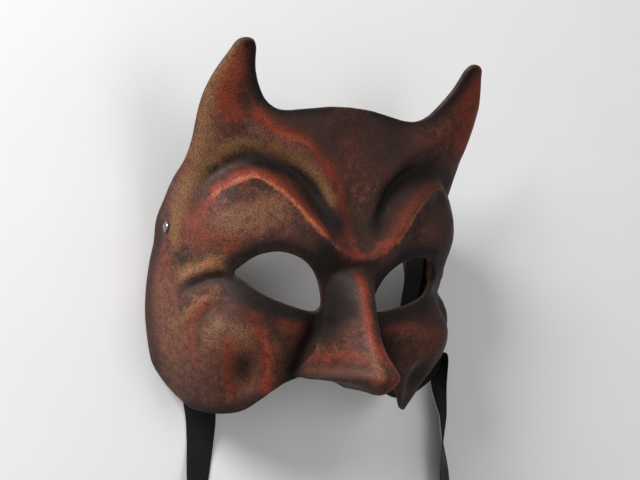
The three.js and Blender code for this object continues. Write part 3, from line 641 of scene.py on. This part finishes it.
UNEVEN_SIZE = 9.0             # of the dents left by shaping the leather by hand
UNEVEN_HEIGHT = 0.22


def unevenness(points):
    """A small height for each point, in millimetres, the same on every run."""
    return np.array([noise.noise(Vector(p) / UNEVEN_SIZE) for p in points]) * UNEVEN_HEIGHT


def mirrored(points):
    return points * np.array([-1, 1, 1])


def make_shell(material):
    """The whole shell: an outer and an inner skin, and a rounded edge between them."""
    edges = edge_lines()
    vertices = []
    sheet = []
    faces = []

    def add(points, places, depth):
        """Adds points of the left half, then their mirror images; returns both sets of numbers."""
        first = sum(len(block) for block in vertices)
        numbers = first + np.arange(len(points))
        on_middle = places[:, 0] == 0
        mirror = np.where(on_middle, numbers, 0)
        mirror[~on_middle] = first + len(points) + np.arange((~on_middle).sum())
        row = np.concatenate([places, np.full((len(points), 1), depth)], axis=1)
        vertices.extend([points, mirrored(points[~on_middle])])
        sheet.extend([row, mirrored(row[~on_middle])])
        return numbers, mirror

    outer_places, outer_faces = skin_points(edges, OUTER_GRAIN)
    inner_places, inner_faces = skin_points(edges, INNER_GRAIN)
    outer = face_point(outer_places[:, 0], outer_places[:, 1])
    outer += face_normal(outer_places[:, 0], outer_places[:, 1]) * unevenness(outer)[:, None]
    inner = inner_point(inner_places[:, 0], inner_places[:, 1])
    outer_numbers = add(outer, outer_places, 0)
    inner_numbers = add(inner, inner_places, 1)
    for half in (0, 1):
        turned = 1 - 2 * half
        faces += [tuple(outer_numbers[half][face][::turned]) for face in outer_faces]
        faces += [tuple(inner_numbers[half][face][::-turned]) for face in inner_faces]

    begin = 0
    for line, start, closed in edges:
        count = len(start)
        rows = slice(begin, begin + count)
        begin += count
        middle = (outer[rows] + inner[rows]) / 2
        through = (outer[rows] - inner[rows]) / 2
        out = face_point(line[:, 0], line[:, 1]) + inner_point(line[:, 0], line[:, 1])
        reach = out / 2 - middle
        rings = [[numbers[rows] for numbers in outer_numbers]]
        for k in range(1, EDGE_STEPS):
            turn = math.pi * k / EDGE_STEPS
            ring = middle + through * math.cos(turn) + reach * math.sin(turn)
            rings.append(add(ring, line * (start[:, :1] != 0), k / EDGE_STEPS))
        rings.append([numbers[rows] for numbers in inner_numbers])
        for near, far in zip(rings, rings[1:]):
            for half in (0, 1):
                for i in range(count if closed else count - 1):
                    j = (i + 1) % count
                    face = (near[half][i], near[half][j], far[half][j], far[half][i])
                    faces.append(face[::1 - 2 * half])

    points = np.concatenate(vertices)
    places = np.concatenate(sheet)
    points[:, 2] = np.maximum(points[:, 2], 0)
    shell = mesh_object("mask_leather", place_on_floor(points), faces, material)
    return shell, places


# Where the paint is rubbed or dark, and where light and shade are painted: a line on the sheet, how far
# it spreads on the line's left and on its right, its strength, and its half of the face (-1 the
# wearer's right, 1 the left, 0 both). The rows on the wearer's right half, which faces the light, are
# stronger and paler than those on the left half, which has dark rows of its own: painted light on the
# right half, painted shade on the left.
# A warm ground coat, laid on mostly over the wearer's right half and its lit swells: partly the mask's
# paint, partly painted light
WARM_GROUND_AND_PAINTED_LIGHT = (
    (((92, 14), (80, 10), (64, 15), (52, 18)), (13, 13), 0.75, -1),
    (((104, -24), (102, -47), (84, -52), (66, -49)), (26, 12), 0.7, -1),
    (((106, -40), (111, 0), (100, 24)), (12, 14), 0.6, 1),
    (((82, 74), (84, 60), (92, 42), (104, 16)), (9, 9), 0.75, -1),
    (((80, 12), (60, 18)), (16, 12), 0.3, 1),
    (((80, -44), (60, -40)), (20, 20), 0.3, 1),
    (((65, 60), (58, 56), (50, 54), (41, 52), (33, 47), (27, 42)), (3.5, 3), 0.8, -1),
    # A painted highlight along the lower edge of each nostril wing
    (((30, -61), (22, -60.5), (12, -60.5)), (2, 2.5), 0.6, 0),
    (((8, -36), (9, -48), (12, -58)), (5, 5), 0.4, -1),
)
RED_RUBS = (
    (((66, 98), (70, 88), (75, 76), (74, 66)), (4.5, 5), 0.85, -1),
    (((66, 104), (74, 92), (80, 76), (84, 62)), (11, 11), 0.85, 1),
    (((112, 0), (111, -7), (111, -14)), (5, 5), 0.35, 0),
    (((64, 68), (57, 62), (48, 58), (38, 56), (31, 52), (26, 46), (20, 41)), (4, 4), 0.8, -1),
    (((20, 41), (14, 34), (10, 27), (6, 14), (4, 4)), (7, 7), 0.5, -1),
    (((66, 65), (49, 56), (28, 43)), (6, 5), 0.3, 1),
    (((80, 29), (71, 36), (63, 38), (54, 35), (45, 29), (35, 20), (24, 10), (16, 4)), (3.5, 3), 0.8, -1),
    (((80, 29), (63, 38), (45, 29), (24, 10), (16, 4)), (2.8, 2.5), 0.6, 1),
    (((18, 2), (9, -1), (0, -2)), (3.5, 3.5), 0.45, 0),
    (((94, 6), (90, 16), (82, 22)), (6, 6), 0.45, -1),
    (((86, 4), (72, 2)), (6, 6), 0.4, -1),
    (((61, -36), (56, -48), (54, -60), (56, -72)), (4, 5), 0.75, -1),
    (((46, -36), (34, -40)), (6, 6), 0.6, 0),
    (((62, -38), (64, -50)), (11, 11), 0.5, 1),
    (((71, -46), (73, -58), (75, -74)), (3, 4), 0.6, -1),
    (((83, -24), (88, -37), (91, -52)), (3, 5), 0.5, -1),
    (((76, -32), (60, -33)), (4, 5), 0.4, -1),
    (((4, -13), (4, -24), (4, -34), (4, -44), (2, -51)), (3, 3), 0.85, -1),
    (((2, -48), (5, -54), (8, -60), (4, -66)), (4.5, 4.5), 0.75, 1),
    (((25, -56), (22, -54), (17, -52), (11, -52)), (3.5, 4), 0.45, 0),
    (((9, -62), (4, -66), (2, -68)), (4, 4), 0.5, -1),
    (((0, 45), (0, 53)), (26, 18), 0.3, 0),
)
# Olive paint rubbed onto the raised places, mostly on the wearer's right half: partly the mask's paint,
# partly painted highlights where the light falls
OLIVE_RUBS_AND_HIGHLIGHTS = (
    (((75, 90), (81, 72), (85, 55), (89, 40), (96, 28), (102, 14), (104, 2)), (4.5, 5), 0.75, -1),
    (((67, 103), (71, 96), (74, 88)), (3.5, 4), 0.75, -1),
    (((86, 40), (79, 48), (72, 52), (62, 52), (52, 50), (46, 47), (38, 43), (28, 38), (18, 26)),
     (3.5, 3.5), 0.9, -1),
    (((70, 12), (60, 17), (52, 21)), (8, 8), 0.6, -1),
    (((98, -14), (92, -12), (84, -8), (77, -7)), (4, 4), 0.85, -1),
    (((100, -40), (92, -36), (87, -29), (80, -24)), (3.5, 3.5), 0.5, -1),
    # The cheek's swell: olive paint and a painted highlight
    (((66, -43), (73, -38), (82, -44)), (9, 9), 0.5, -1),
    (((68, -64), (69, -66)), (5, 7), 0.3, -1),
    # A painted highlight on the nose tip
    (((6, -52), (7, -58), (8, -63)), (3.5, 3.5), 0.45, -1),
    (((100, -60), (108, -40), (112, -20)), (10, 10), 0.25, 0),
    (((114, -20), (110, 8), (98, 30)), (7, 7), 0.35, 1),
)
CREST_RUBS = (
    (((70, 34), (63, 36), (55, 32), (47, 27), (37, 18), (26, 8), (18, 2)), (1.2, 1.5), 0.8, -1),
    (((82, 25), (77, 29), (70, 34)), (1.5, 1.8), 0.5, -1),
    (((78, 28), (63, 36), (47, 27), (36, 17), (24, 6)), (1.2, 1.4), 0.5, 1),
    (((4, -18), (4, -30), (4, -42)), (1.2, 1.2), 0.15, -1),
    (((94, -13.5), (86, -10), (78, -8.5)), (1.4, 1.6), 0.3, -1),
    (((56, -44), (53, -54), (54, -62)), (1.8, 2.2), 0.35, -1),
    (((54, 59), (46, 57), (38, 55), (31, 51)), (2, 2), 0.4, -1),
)
# Darker along the grooves, creases, hollows, eye holes and lower rims: partly the mask's own dark paint
# in its hollows, partly painted shade. The rows for the left half alone are painted shade over that half.
DARK_PAINT_AND_SHADE = (
    (((70, -17), (57, -27), (39, -32), (22, -32)), (6, 6), 0.9, 0),
    (((102, -82), (90, -84), (77, -83), (58, -75)), (5, 4), 0.6, 0),
    (((14, 14), (19, 19), (24, 24), (31, 31), (38, 37), (45, 40), (52, 42), (64, 45)), (3, 4), 0.95, 0),
    (((64, 45), (76, 44), (84, 38)), (3, 3), 0.6, 0),
    (((84, 38), (89, 28), (92, 18)), (4, 4), 0.4, 0),
    (((22, -34), (30, -46), (37, -58), (41, -68)), (6, 6), 0.95, 0),
    (((64, 104), (64, 90), (62, 78), (56, 73), (46, 72), (20, 75)), (4, 4), 0.9, 0),
    (((98, -23), (86, -17), (76, -16)), (2.5, 2.5), 0.5, 0),
    (((85, -48), (83, -36), (76, -28)), (3, 3), 0.4, 0),
    (((66, -57), (67, -64)), (5, 5), 0.55, 0),
    (((118, -60), (121, -20), (119, 8)), (5, 8), 0.45, 0),
    (((24, 2), (17, -13), (14, -26)), (8, 8), 0.85, -1),
    (((14, -28), (20, -42)), (4.5, 4.5), 0.7, -1),
    (((26, -10), (20, -20), (12, -34)), (7, 7), 0.8, 1),
    (((6, -24), (10, -45), (18, -60)), (9, 9), 0.5, 1),
    (((73, -8), (58, 1), (45, 2), (33, -3), (25, -12)), (4, 3.5), 0.75, 0),
    (((72, -33), (58, -36)), (5, 6), 0.45, 0),
    (((16, -12), (0, -9)), (6, 7), 0.4, 0),
    (((30, 28), (18, 17), (0, 14)), (10, 6), 0.45, 0),
    (((84, 96), (90, 76), (92, 62)), (5, 5), 0.5, 0),
    # A broad painted shade over the left half's cheek, eye and brow
    (((84, -70), (76, -5), (70, 20), (44, 44)), (20, 22), 0.5, 1),
    (((0, 70), (24, 56), (34, 66)), (20, 20), 0.35, 0),
    (((26, -64), (14, -62)), (6, 6), 0.35, 0),
)


def rubbed(places, rows):
    """How strongly the rows' lines mark each place on the sheet, from 0 to 1."""
    around = np.abs(places[:, 0])
    left_out = np.ones(len(places))
    for line, spread, strength, half in rows:
        path = rounded_line(line, parts=LINE_PARTS)
        side, _ = along_line(around, places[:, 1], path)
        mark = strength * bell(side / np.where(side > 0, spread[0], spread[1]))
        if half:
            mark = mark * (np.sign(places[:, 0]) == half)
        left_out *= 1 - mark
    return 1 - left_out


# The colours of the leather, inside and out, and of the other materials
BROWN_DARK = (0.016, 0.009, 0.008)
BROWN = (0.042, 0.018, 0.013)
RED_BROWN = (0.115, 0.028, 0.016)
WARM_BROWN = (0.160, 0.066, 0.048)
RED = (0.290, 0.036, 0.014)
OLIVE = (0.250, 0.140, 0.056)
CREST = (0.500, 0.135, 0.056)
RED_FLECK = (0.340, 0.050, 0.020)
OLIVE_FLECK = (0.330, 0.200, 0.095)
PIT_DARK = (0.020, 0.010, 0.008)
# The colour of the painted shade and of the dark paint in the hollows
SHADE_AND_GROOVE_DARK = (0.009, 0.006, 0.005)
CUT_EDGE_AND_HIGHLIGHT = (0.060, 0.030, 0.022)
FLESH_DARK = (0.040, 0.024, 0.017)
FLESH_LIGHT = (0.085, 0.052, 0.036)
THREAD_DARK = (0.003, 0.003, 0.0035)
THREAD_LIGHT = (0.009, 0.009, 0.010)
STEEL = (0.32, 0.32, 0.33)
TARNISH = (0.10, 0.095, 0.09)
FLOOR_DARK = (0.90, 0.90, 0.90)
FLOOR_LIGHT = (0.93, 0.93, 0.93)

# How dull the leather is between its grains and on them, how much duller inside, and the gloss
ROUGHNESS = (0.66, 0.50)
FLESH_DULLER = 0.3
LOW_GLOSS = 0.2
RIBBON_SHEEN = 0.05

# The leather's pattern: the size of each kind of grain in millimetres
STREAK_SIZE = 1.6
STREAK_STRETCH = (1, 0.45, 1)
SPECKLE_SIZE = 0.55
BLOTCH_SIZE = 4.5
CLOUD_SIZE = 22
FLECK_SIZE = 0.7
PIT_SIZE = 0.5
PORE_SIZE = 0.9
SWELL_SIZE = 6

# The coats of paint over the brown ground, the warm and the olive coat with painted light on the
# wearer's right half: where each is rubbed, how strongly, the values between which it fades in, and
# its colour
COATS = (
    ("warm", 0.9, -0.1, 1.1, WARM_BROWN),
    ("olive", 0.9, 0.0, 1.1, OLIVE),
    ("red", 0.95, 0.0, 1.1, RED),
    ("crest", 1.0, 0.1, 0.8, CREST),
)


class Finish:
    """A material, with short calls that add its nodes. Lengths in its textures are millimetres."""

    def __init__(self, name):
        self.material = bpy.data.materials.new(name)
        self.material.use_nodes = True
        self.tree = self.material.node_tree
        self.surface = self.tree.nodes["Principled BSDF"]

    def put(self, socket, value):
        """Links another node's output to the socket, or gives the socket a plain value."""
        if isinstance(value, bpy.types.NodeSocket):
            self.tree.links.new(value, socket)
        elif socket.type == "RGBA":
            socket.default_value = (*value, 1)
        else:
            socket.default_value = value

    def cover(self, values):
        """Fills the shader's named sockets and returns the material."""
        for name, value in values.items():
            self.put(self.surface.inputs[name], value)
        return self.material

    def node(self, kind, output, values, **settings):
        """Adds a node with its settings, fills its sockets and returns one of its outputs."""
        node = self.tree.nodes.new(kind)
        for name, setting in settings.items():
            setattr(node, name, setting)
        for socket, value in values.items():
            self.put(node.inputs[socket], value)
        return node.outputs[output]

    def attribute(self, name, output="Fac"):
        return self.node("ShaderNodeAttribute", output, {}, attribute_name=name)

    def place(self):
        """The place on the piece itself, in millimetres."""
        return self.scaled(self.node("ShaderNodeTexCoord", "Object", {}), IN_MILLIMETRES)

    def scaled(self, vector, factors):
        return self.node("ShaderNodeVectorMath", "Vector", {0: vector, 1: factors}, operation="MULTIPLY")

    def noise(self, place, size, detail=2.0, roughness=0.5):
        """Cloudy noise around 0.5, with grains of about the given size."""
        return self.node("ShaderNodeTexNoise", "Fac", {
            "Vector": place, "Scale": 1 / size, "Detail": detail, "Roughness": roughness})

    def cells(self, place, size):
        """The distance from the middle of leather's small cells."""
        return self.node("ShaderNodeTexVoronoi", "Distance", {"Vector": place, "Scale": 1 / size})

    def sum(self, operation, a, b, c=0.0):
        return self.node("ShaderNodeMath", "Value", {0: a, 1: b, 2: c}, operation=operation)

    def fade(self, value, low, high, to_low=0.0, to_high=1.0):
        """A smooth change from one number to another while the value runs from low to high."""
        return self.node("ShaderNodeMapRange", "Result", {
            "Value": value, "From Min": low, "From Max": high,
            "To Min": to_low, "To Max": to_high}, interpolation_type="SMOOTHSTEP")

    def mix(self, share, a, b):
        """The first colour, with the given share of the second over it."""
        node = self.tree.nodes.new("ShaderNodeMix")
        node.data_type = "RGBA"
        self.put(node.inputs["Factor"], share)
        colours = [socket for socket in node.inputs if socket.type == "RGBA"]
        self.put(colours[0], a)
        self.put(colours[1], b)
        return next(socket for socket in node.outputs if socket.type == "RGBA")

    def bump(self, height, depth, under=None):
        """Raises the surface by the height's swing times the depth in millimetres."""
        values = {"Height": height, "Distance": depth * MM}
        if under is not None:
            values["Normal"] = under
        return self.node("ShaderNodeBump", "Normal", values)


def painted_leather():
    """Dark brown leather, rubbed over with red and olive paint that the ridges caught, and painted light
    and shade.
    """
    finish = Finish("painted_leather")
    place = finish.place()
    sheet = finish.attribute("sheet", "Vector")
    streaks = finish.noise(finish.scaled(sheet, STREAK_STRETCH), STREAK_SIZE, 3, 0.6)
    speckle = finish.noise(place, SPECKLE_SIZE, 2, 0.6)
    blotch = finish.noise(place, BLOTCH_SIZE, 3, 0.55)
    cloud = finish.noise(place, CLOUD_SIZE, 2)
    broken = finish.sum("ADD", finish.sum("MULTIPLY", speckle, 0.9), finish.sum("MULTIPLY", streaks, 0.7))
    broken = finish.sum("ADD", broken, finish.sum("MULTIPLY", blotch, 1.1))
    broken = finish.sum("SUBTRACT", broken, 1.35)

    def coat(name, amount, low, high):
        """How much of one coat shows, the painted light and shade included: its rubs, broken up by the
        grain.
        """
        strength = finish.sum("MULTIPLY", finish.attribute(name), amount)
        return finish.fade(finish.sum("ADD", strength, broken), low, high)

    colour = finish.mix(finish.fade(cloud, 0.3, 0.7), BROWN_DARK, BROWN)
    colour = finish.mix(finish.fade(broken, -0.1, 0.4, 0, 0.5), colour, RED_BROWN)
    for name, amount, low, high, paint in COATS:
        colour = finish.mix(coat(name, amount, low, high), colour, paint)
    rubs = finish.sum("ADD", finish.attribute("warm"), finish.attribute("olive"))
    rubs = finish.fade(finish.sum("ADD", rubs, finish.attribute("red")), 0, 1, 0.2, 1)
    red_flecks = finish.fade(finish.noise(place, FLECK_SIZE, 3, 0.7), 0.46, 0.62, 0, 0.38)
    colour = finish.mix(finish.sum("MULTIPLY", red_flecks, rubs), colour, RED_FLECK)
    turned = finish.scaled(place, (1.13, 0.91, 1.07))
    olive_flecks = finish.fade(finish.noise(turned, FLECK_SIZE, 3, 0.7), 0.50, 0.64, 0, 0.36)
    olive_rubs_and_highlights = finish.fade(finish.attribute("olive"), 0, 0.5, 0.25, 1)
    colour = finish.mix(finish.sum("MULTIPLY", olive_flecks, olive_rubs_and_highlights), colour, OLIVE_FLECK)
    pits = finish.fade(finish.noise(place, PIT_SIZE, 2, 0.7), 0.42, 0.56, 1, 0)
    colour = finish.mix(finish.sum("MULTIPLY", pits, 0.75), colour, PIT_DARK)
    # Painted shade, with the mask's dark paint in its hollows
    colour = finish.mix(coat("dark", 1.0, 0.0, 0.95), colour, SHADE_AND_GROOVE_DARK)
    # A lighter edge all round the shell: partly wear on the cut edge, partly a painted highlight along it
    depth = finish.attribute("depth")
    at_edge = finish.sum("MULTIPLY", finish.fade(depth, 0, 0.3), finish.fade(depth, 1, 0.7))
    worn_and_highlit = finish.sum("MULTIPLY", at_edge, finish.fade(streaks, 0.35, 0.6, 0.2, 0.8))
    colour = finish.mix(worn_and_highlit, colour, CUT_EDGE_AND_HIGHLIGHT)
    inside = finish.fade(depth, 0.8, 0.95)
    flesh = finish.mix(finish.fade(blotch, 0.35, 0.65), FLESH_DARK, FLESH_LIGHT)
    colour = finish.mix(inside, colour, flesh)
    satin = finish.fade(finish.sum("ADD", broken, cloud), 0.2, 0.9, *ROUGHNESS)
    dull = finish.sum("MULTIPLY_ADD", inside, FLESH_DULLER, satin)
    pores = finish.fade(finish.cells(place, PORE_SIZE), 0.05, 0.5)
    normal = finish.bump(finish.noise(place, SWELL_SIZE, 2), 0.35)
    normal = finish.bump(finish.sum("ADD", streaks, finish.sum("MULTIPLY", speckle, 0.6)), 0.11, normal)
    normal = finish.bump(pores, 0.035, normal)
    return finish.cover({"Base Color": colour, "Roughness": dull, "Normal": normal,
                         "Specular IOR Level": LOW_GLOSS})


def woven_ribbon():
    """Black ribbon: fine threads along it between the ribs, which are in the mesh."""
    finish = Finish("woven_ribbon")
    weave = finish.scaled(finish.attribute("weave", "Vector"), IN_MILLIMETRES)
    threads = finish.noise(finish.scaled(weave, (0.12, 1, 1)), 0.22, 2, 0.6)
    dust = finish.noise(weave, 3.5, 3)
    colour = finish.mix(finish.fade(threads, 0.3, 0.7), THREAD_DARK, THREAD_LIGHT)
    return finish.cover({"Base Color": colour, "Roughness": finish.fade(dust, 0.3, 0.7, 0.5, 0.72),
                         "Normal": finish.bump(threads, 0.05), "Specular IOR Level": LOW_GLOSS,
                         "Sheen Weight": RIBBON_SHEEN})


def rivet_steel():
    """Dark polished steel with fine scratches and a little tarnish."""
    finish = Finish("rivet_steel")
    place = finish.place()
    scratches = finish.noise(finish.scaled(place, (3, 0.6, 3)), 0.3, 3, 0.6)
    tarnish = finish.noise(place, 1.3, 3)
    colour = finish.mix(finish.fade(tarnish, 0.4, 0.7), STEEL, TARNISH)
    return finish.cover({"Base Color": colour, "Metallic": 1.0,
                         "Roughness": finish.fade(scratches, 0.3, 0.7, 0.18, 0.36),
                         "Normal": finish.bump(scratches, 0.01)})


def pale_floor():
    """A smooth, pale studio floor with a faint mottle."""
    finish = Finish("pale_floor")
    mottle = finish.noise(finish.place(), 60, 2)
    return finish.cover({"Base Color": finish.mix(mottle, FLOOR_DARK, FLOOR_LIGHT),
                         "Roughness": finish.fade(mottle, 0.3, 0.7, 0.6, 0.7)})


# The rivets: a domed head outside, a shank through the leather and the ribbon, a flange inside
HEAD_RADIUS = 3.0
HEAD_HEIGHT = 1.7
HEAD_REST = 0.35              # the head's underside above the leather at the rivet's middle
HEAD_LIP = 0.25
DOME_INSET = 0.02             # how far the dome starts in from the lip
SHANK_RADIUS = 1.1
FLANGE_RADIUS = 3.0
FLANGE_THICKNESS = 0.8
FLANGE_DEPTH = 5.9
TURNED_SIDES = 56
DOME_STEPS = 14


def rivet_profile():
    """Radius and height of the rivet's outline, from the middle of its back to that of its head."""
    back = -FLANGE_DEPTH - FLANGE_THICKNESS
    bevel = FLANGE_THICKNESS / 4
    rows = [(0, back), (FLANGE_RADIUS - bevel, back), (FLANGE_RADIUS, back + bevel),
            (FLANGE_RADIUS, -FLANGE_DEPTH - bevel), (FLANGE_RADIUS - bevel, -FLANGE_DEPTH),
            (SHANK_RADIUS, -FLANGE_DEPTH), (SHANK_RADIUS, HEAD_REST),
            (HEAD_RADIUS - HEAD_LIP / 2, HEAD_REST), (HEAD_RADIUS, HEAD_REST + HEAD_LIP / 2)]
    for turn in np.linspace(0, math.pi / 2, DOME_STEPS):
        rows.append(((HEAD_RADIUS - DOME_INSET) * math.cos(turn),
                     HEAD_REST + HEAD_LIP + (HEAD_HEIGHT - HEAD_LIP) * math.sin(turn)))
    rows[-1] = (0, rows[-1][1])
    return rows


def make_rivet(name, side, material):
    seat_place = np.array([[RIVET_PLACE[0]], [RIVET_PLACE[1]]], float)
    seat = face_point(*seat_place)[0]
    axis = face_normal(*seat_place)[0]
    seat[0] *= side
    axis[0] *= side
    turn = Vector((0, 0, 1)).rotation_difference(Vector(axis))
    profile = rivet_profile()
    points = [(0, 0, profile[0][1])]
    for radius, height in profile[1:-1]:
        for i in range(TURNED_SIDES):
            angle = 2 * math.pi * i / TURNED_SIDES
            points.append((radius * math.cos(angle), radius * math.sin(angle), height))
    points.append((0, 0, profile[-1][1]))
    last = len(points) - 1
    rings = len(profile) - 2
    faces = []
    for i in range(TURNED_SIDES):
        j = (i + 1) % TURNED_SIDES
        faces.append((0, 1 + j, 1 + i))
        for k in range(rings - 1):
            low = 1 + k * TURNED_SIDES
            high = low + TURNED_SIDES
            faces.append((low + i, low + j, high + j, high + i))
        high = 1 + (rings - 1) * TURNED_SIDES
        faces.append((high + i, high + j, last))
    placed = [turn @ Vector(point) + Vector(seat) for point in points]
    return mesh_object(name, place_on_floor(placed), faces, material)


shell, places = make_shell(painted_leather())
for name, rows in (("warm", WARM_GROUND_AND_PAINTED_LIGHT), ("red", RED_RUBS), ("olive", OLIVE_RUBS_AND_HIGHLIGHTS),
                   ("crest", CREST_RUBS), ("dark", DARK_PAINT_AND_SHADE)):
    add_number(shell.data, name, rubbed(places, rows))
add_number(shell.data, "depth", places[:, 2])
add_vector(shell.data, "sheet", places)
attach(shell, BODY)
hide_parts("mask_shell")

steel = rivet_steel()
for name, side in (("right", -1), ("left", 1)):
    rivet = make_rivet("dome_rivet_" + name, side, steel)
    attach(rivet, BODY)
    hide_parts("rivet_" + name)

ribbon_black = woven_ribbon()
for side, route, place, start, direction in (
        ("right", RIBBON_RIGHT_ROUTE, ROLL_RIGHT_PLACE, math.pi, 1),
        ("left", RIBBON_LEFT_ROUTE, ROLL_LEFT_PLACE, 0, -1)):
    line = ribbon_line(route, place, start, direction)
    tie = make_ribbon("tie_" + side, line, ribbon_black)
    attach(tie, BODY)
    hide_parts("ribbon_" + side, "ribbon_roll_" + side)


# The studio: a wide floor, a strong low light from the wearer's right, a weak one from above and
# a pale room. Each light has its name, its place, its size across and its power.
FLOOR_SIZE = 8
LIGHT_AIM = (0, 0, 0.05)
LIGHTS = (
    ("key", (-1.35, 0.85, 0.65), 0.7, 38),
    ("fill", (0.5, 0.3, 1.8), 1.2, 6),
)
ROOM_COLOUR = (1, 1, 1, 1)
ROOM_STRENGTH = 0.28


def make_floor():
    bpy.ops.mesh.primitive_plane_add(size=FLOOR_SIZE, location=(0, 0, 0))
    floor = bpy.context.object
    floor.name = "floor"
    floor.data.materials.append(pale_floor())


def soft_light(name, place, size, power):
    """A round soft light that shines at the middle of the mask."""
    data = bpy.data.lights.new(name, "AREA")
    data.shape = "DISK"
    data.size = size
    data.energy = power
    light = bpy.data.objects.new(name, data)
    bpy.context.collection.objects.link(light)
    direction = Vector(LIGHT_AIM) - Vector(place)
    light.location = place
    light.rotation_euler = direction.to_track_quat("-Z", "Y").to_euler()


make_floor()
for light in LIGHTS:
    soft_light(*light)
world = bpy.data.worlds.new("studio")
world.use_nodes = True
background = world.node_tree.nodes["Background"]
background.inputs["Color"].default_value = ROOM_COLOUR
background.inputs["Strength"].default_value = ROOM_STRENGTH
bpy.context.scene.world = world
bpy.context.scene.view_settings.view_transform = "Standard"
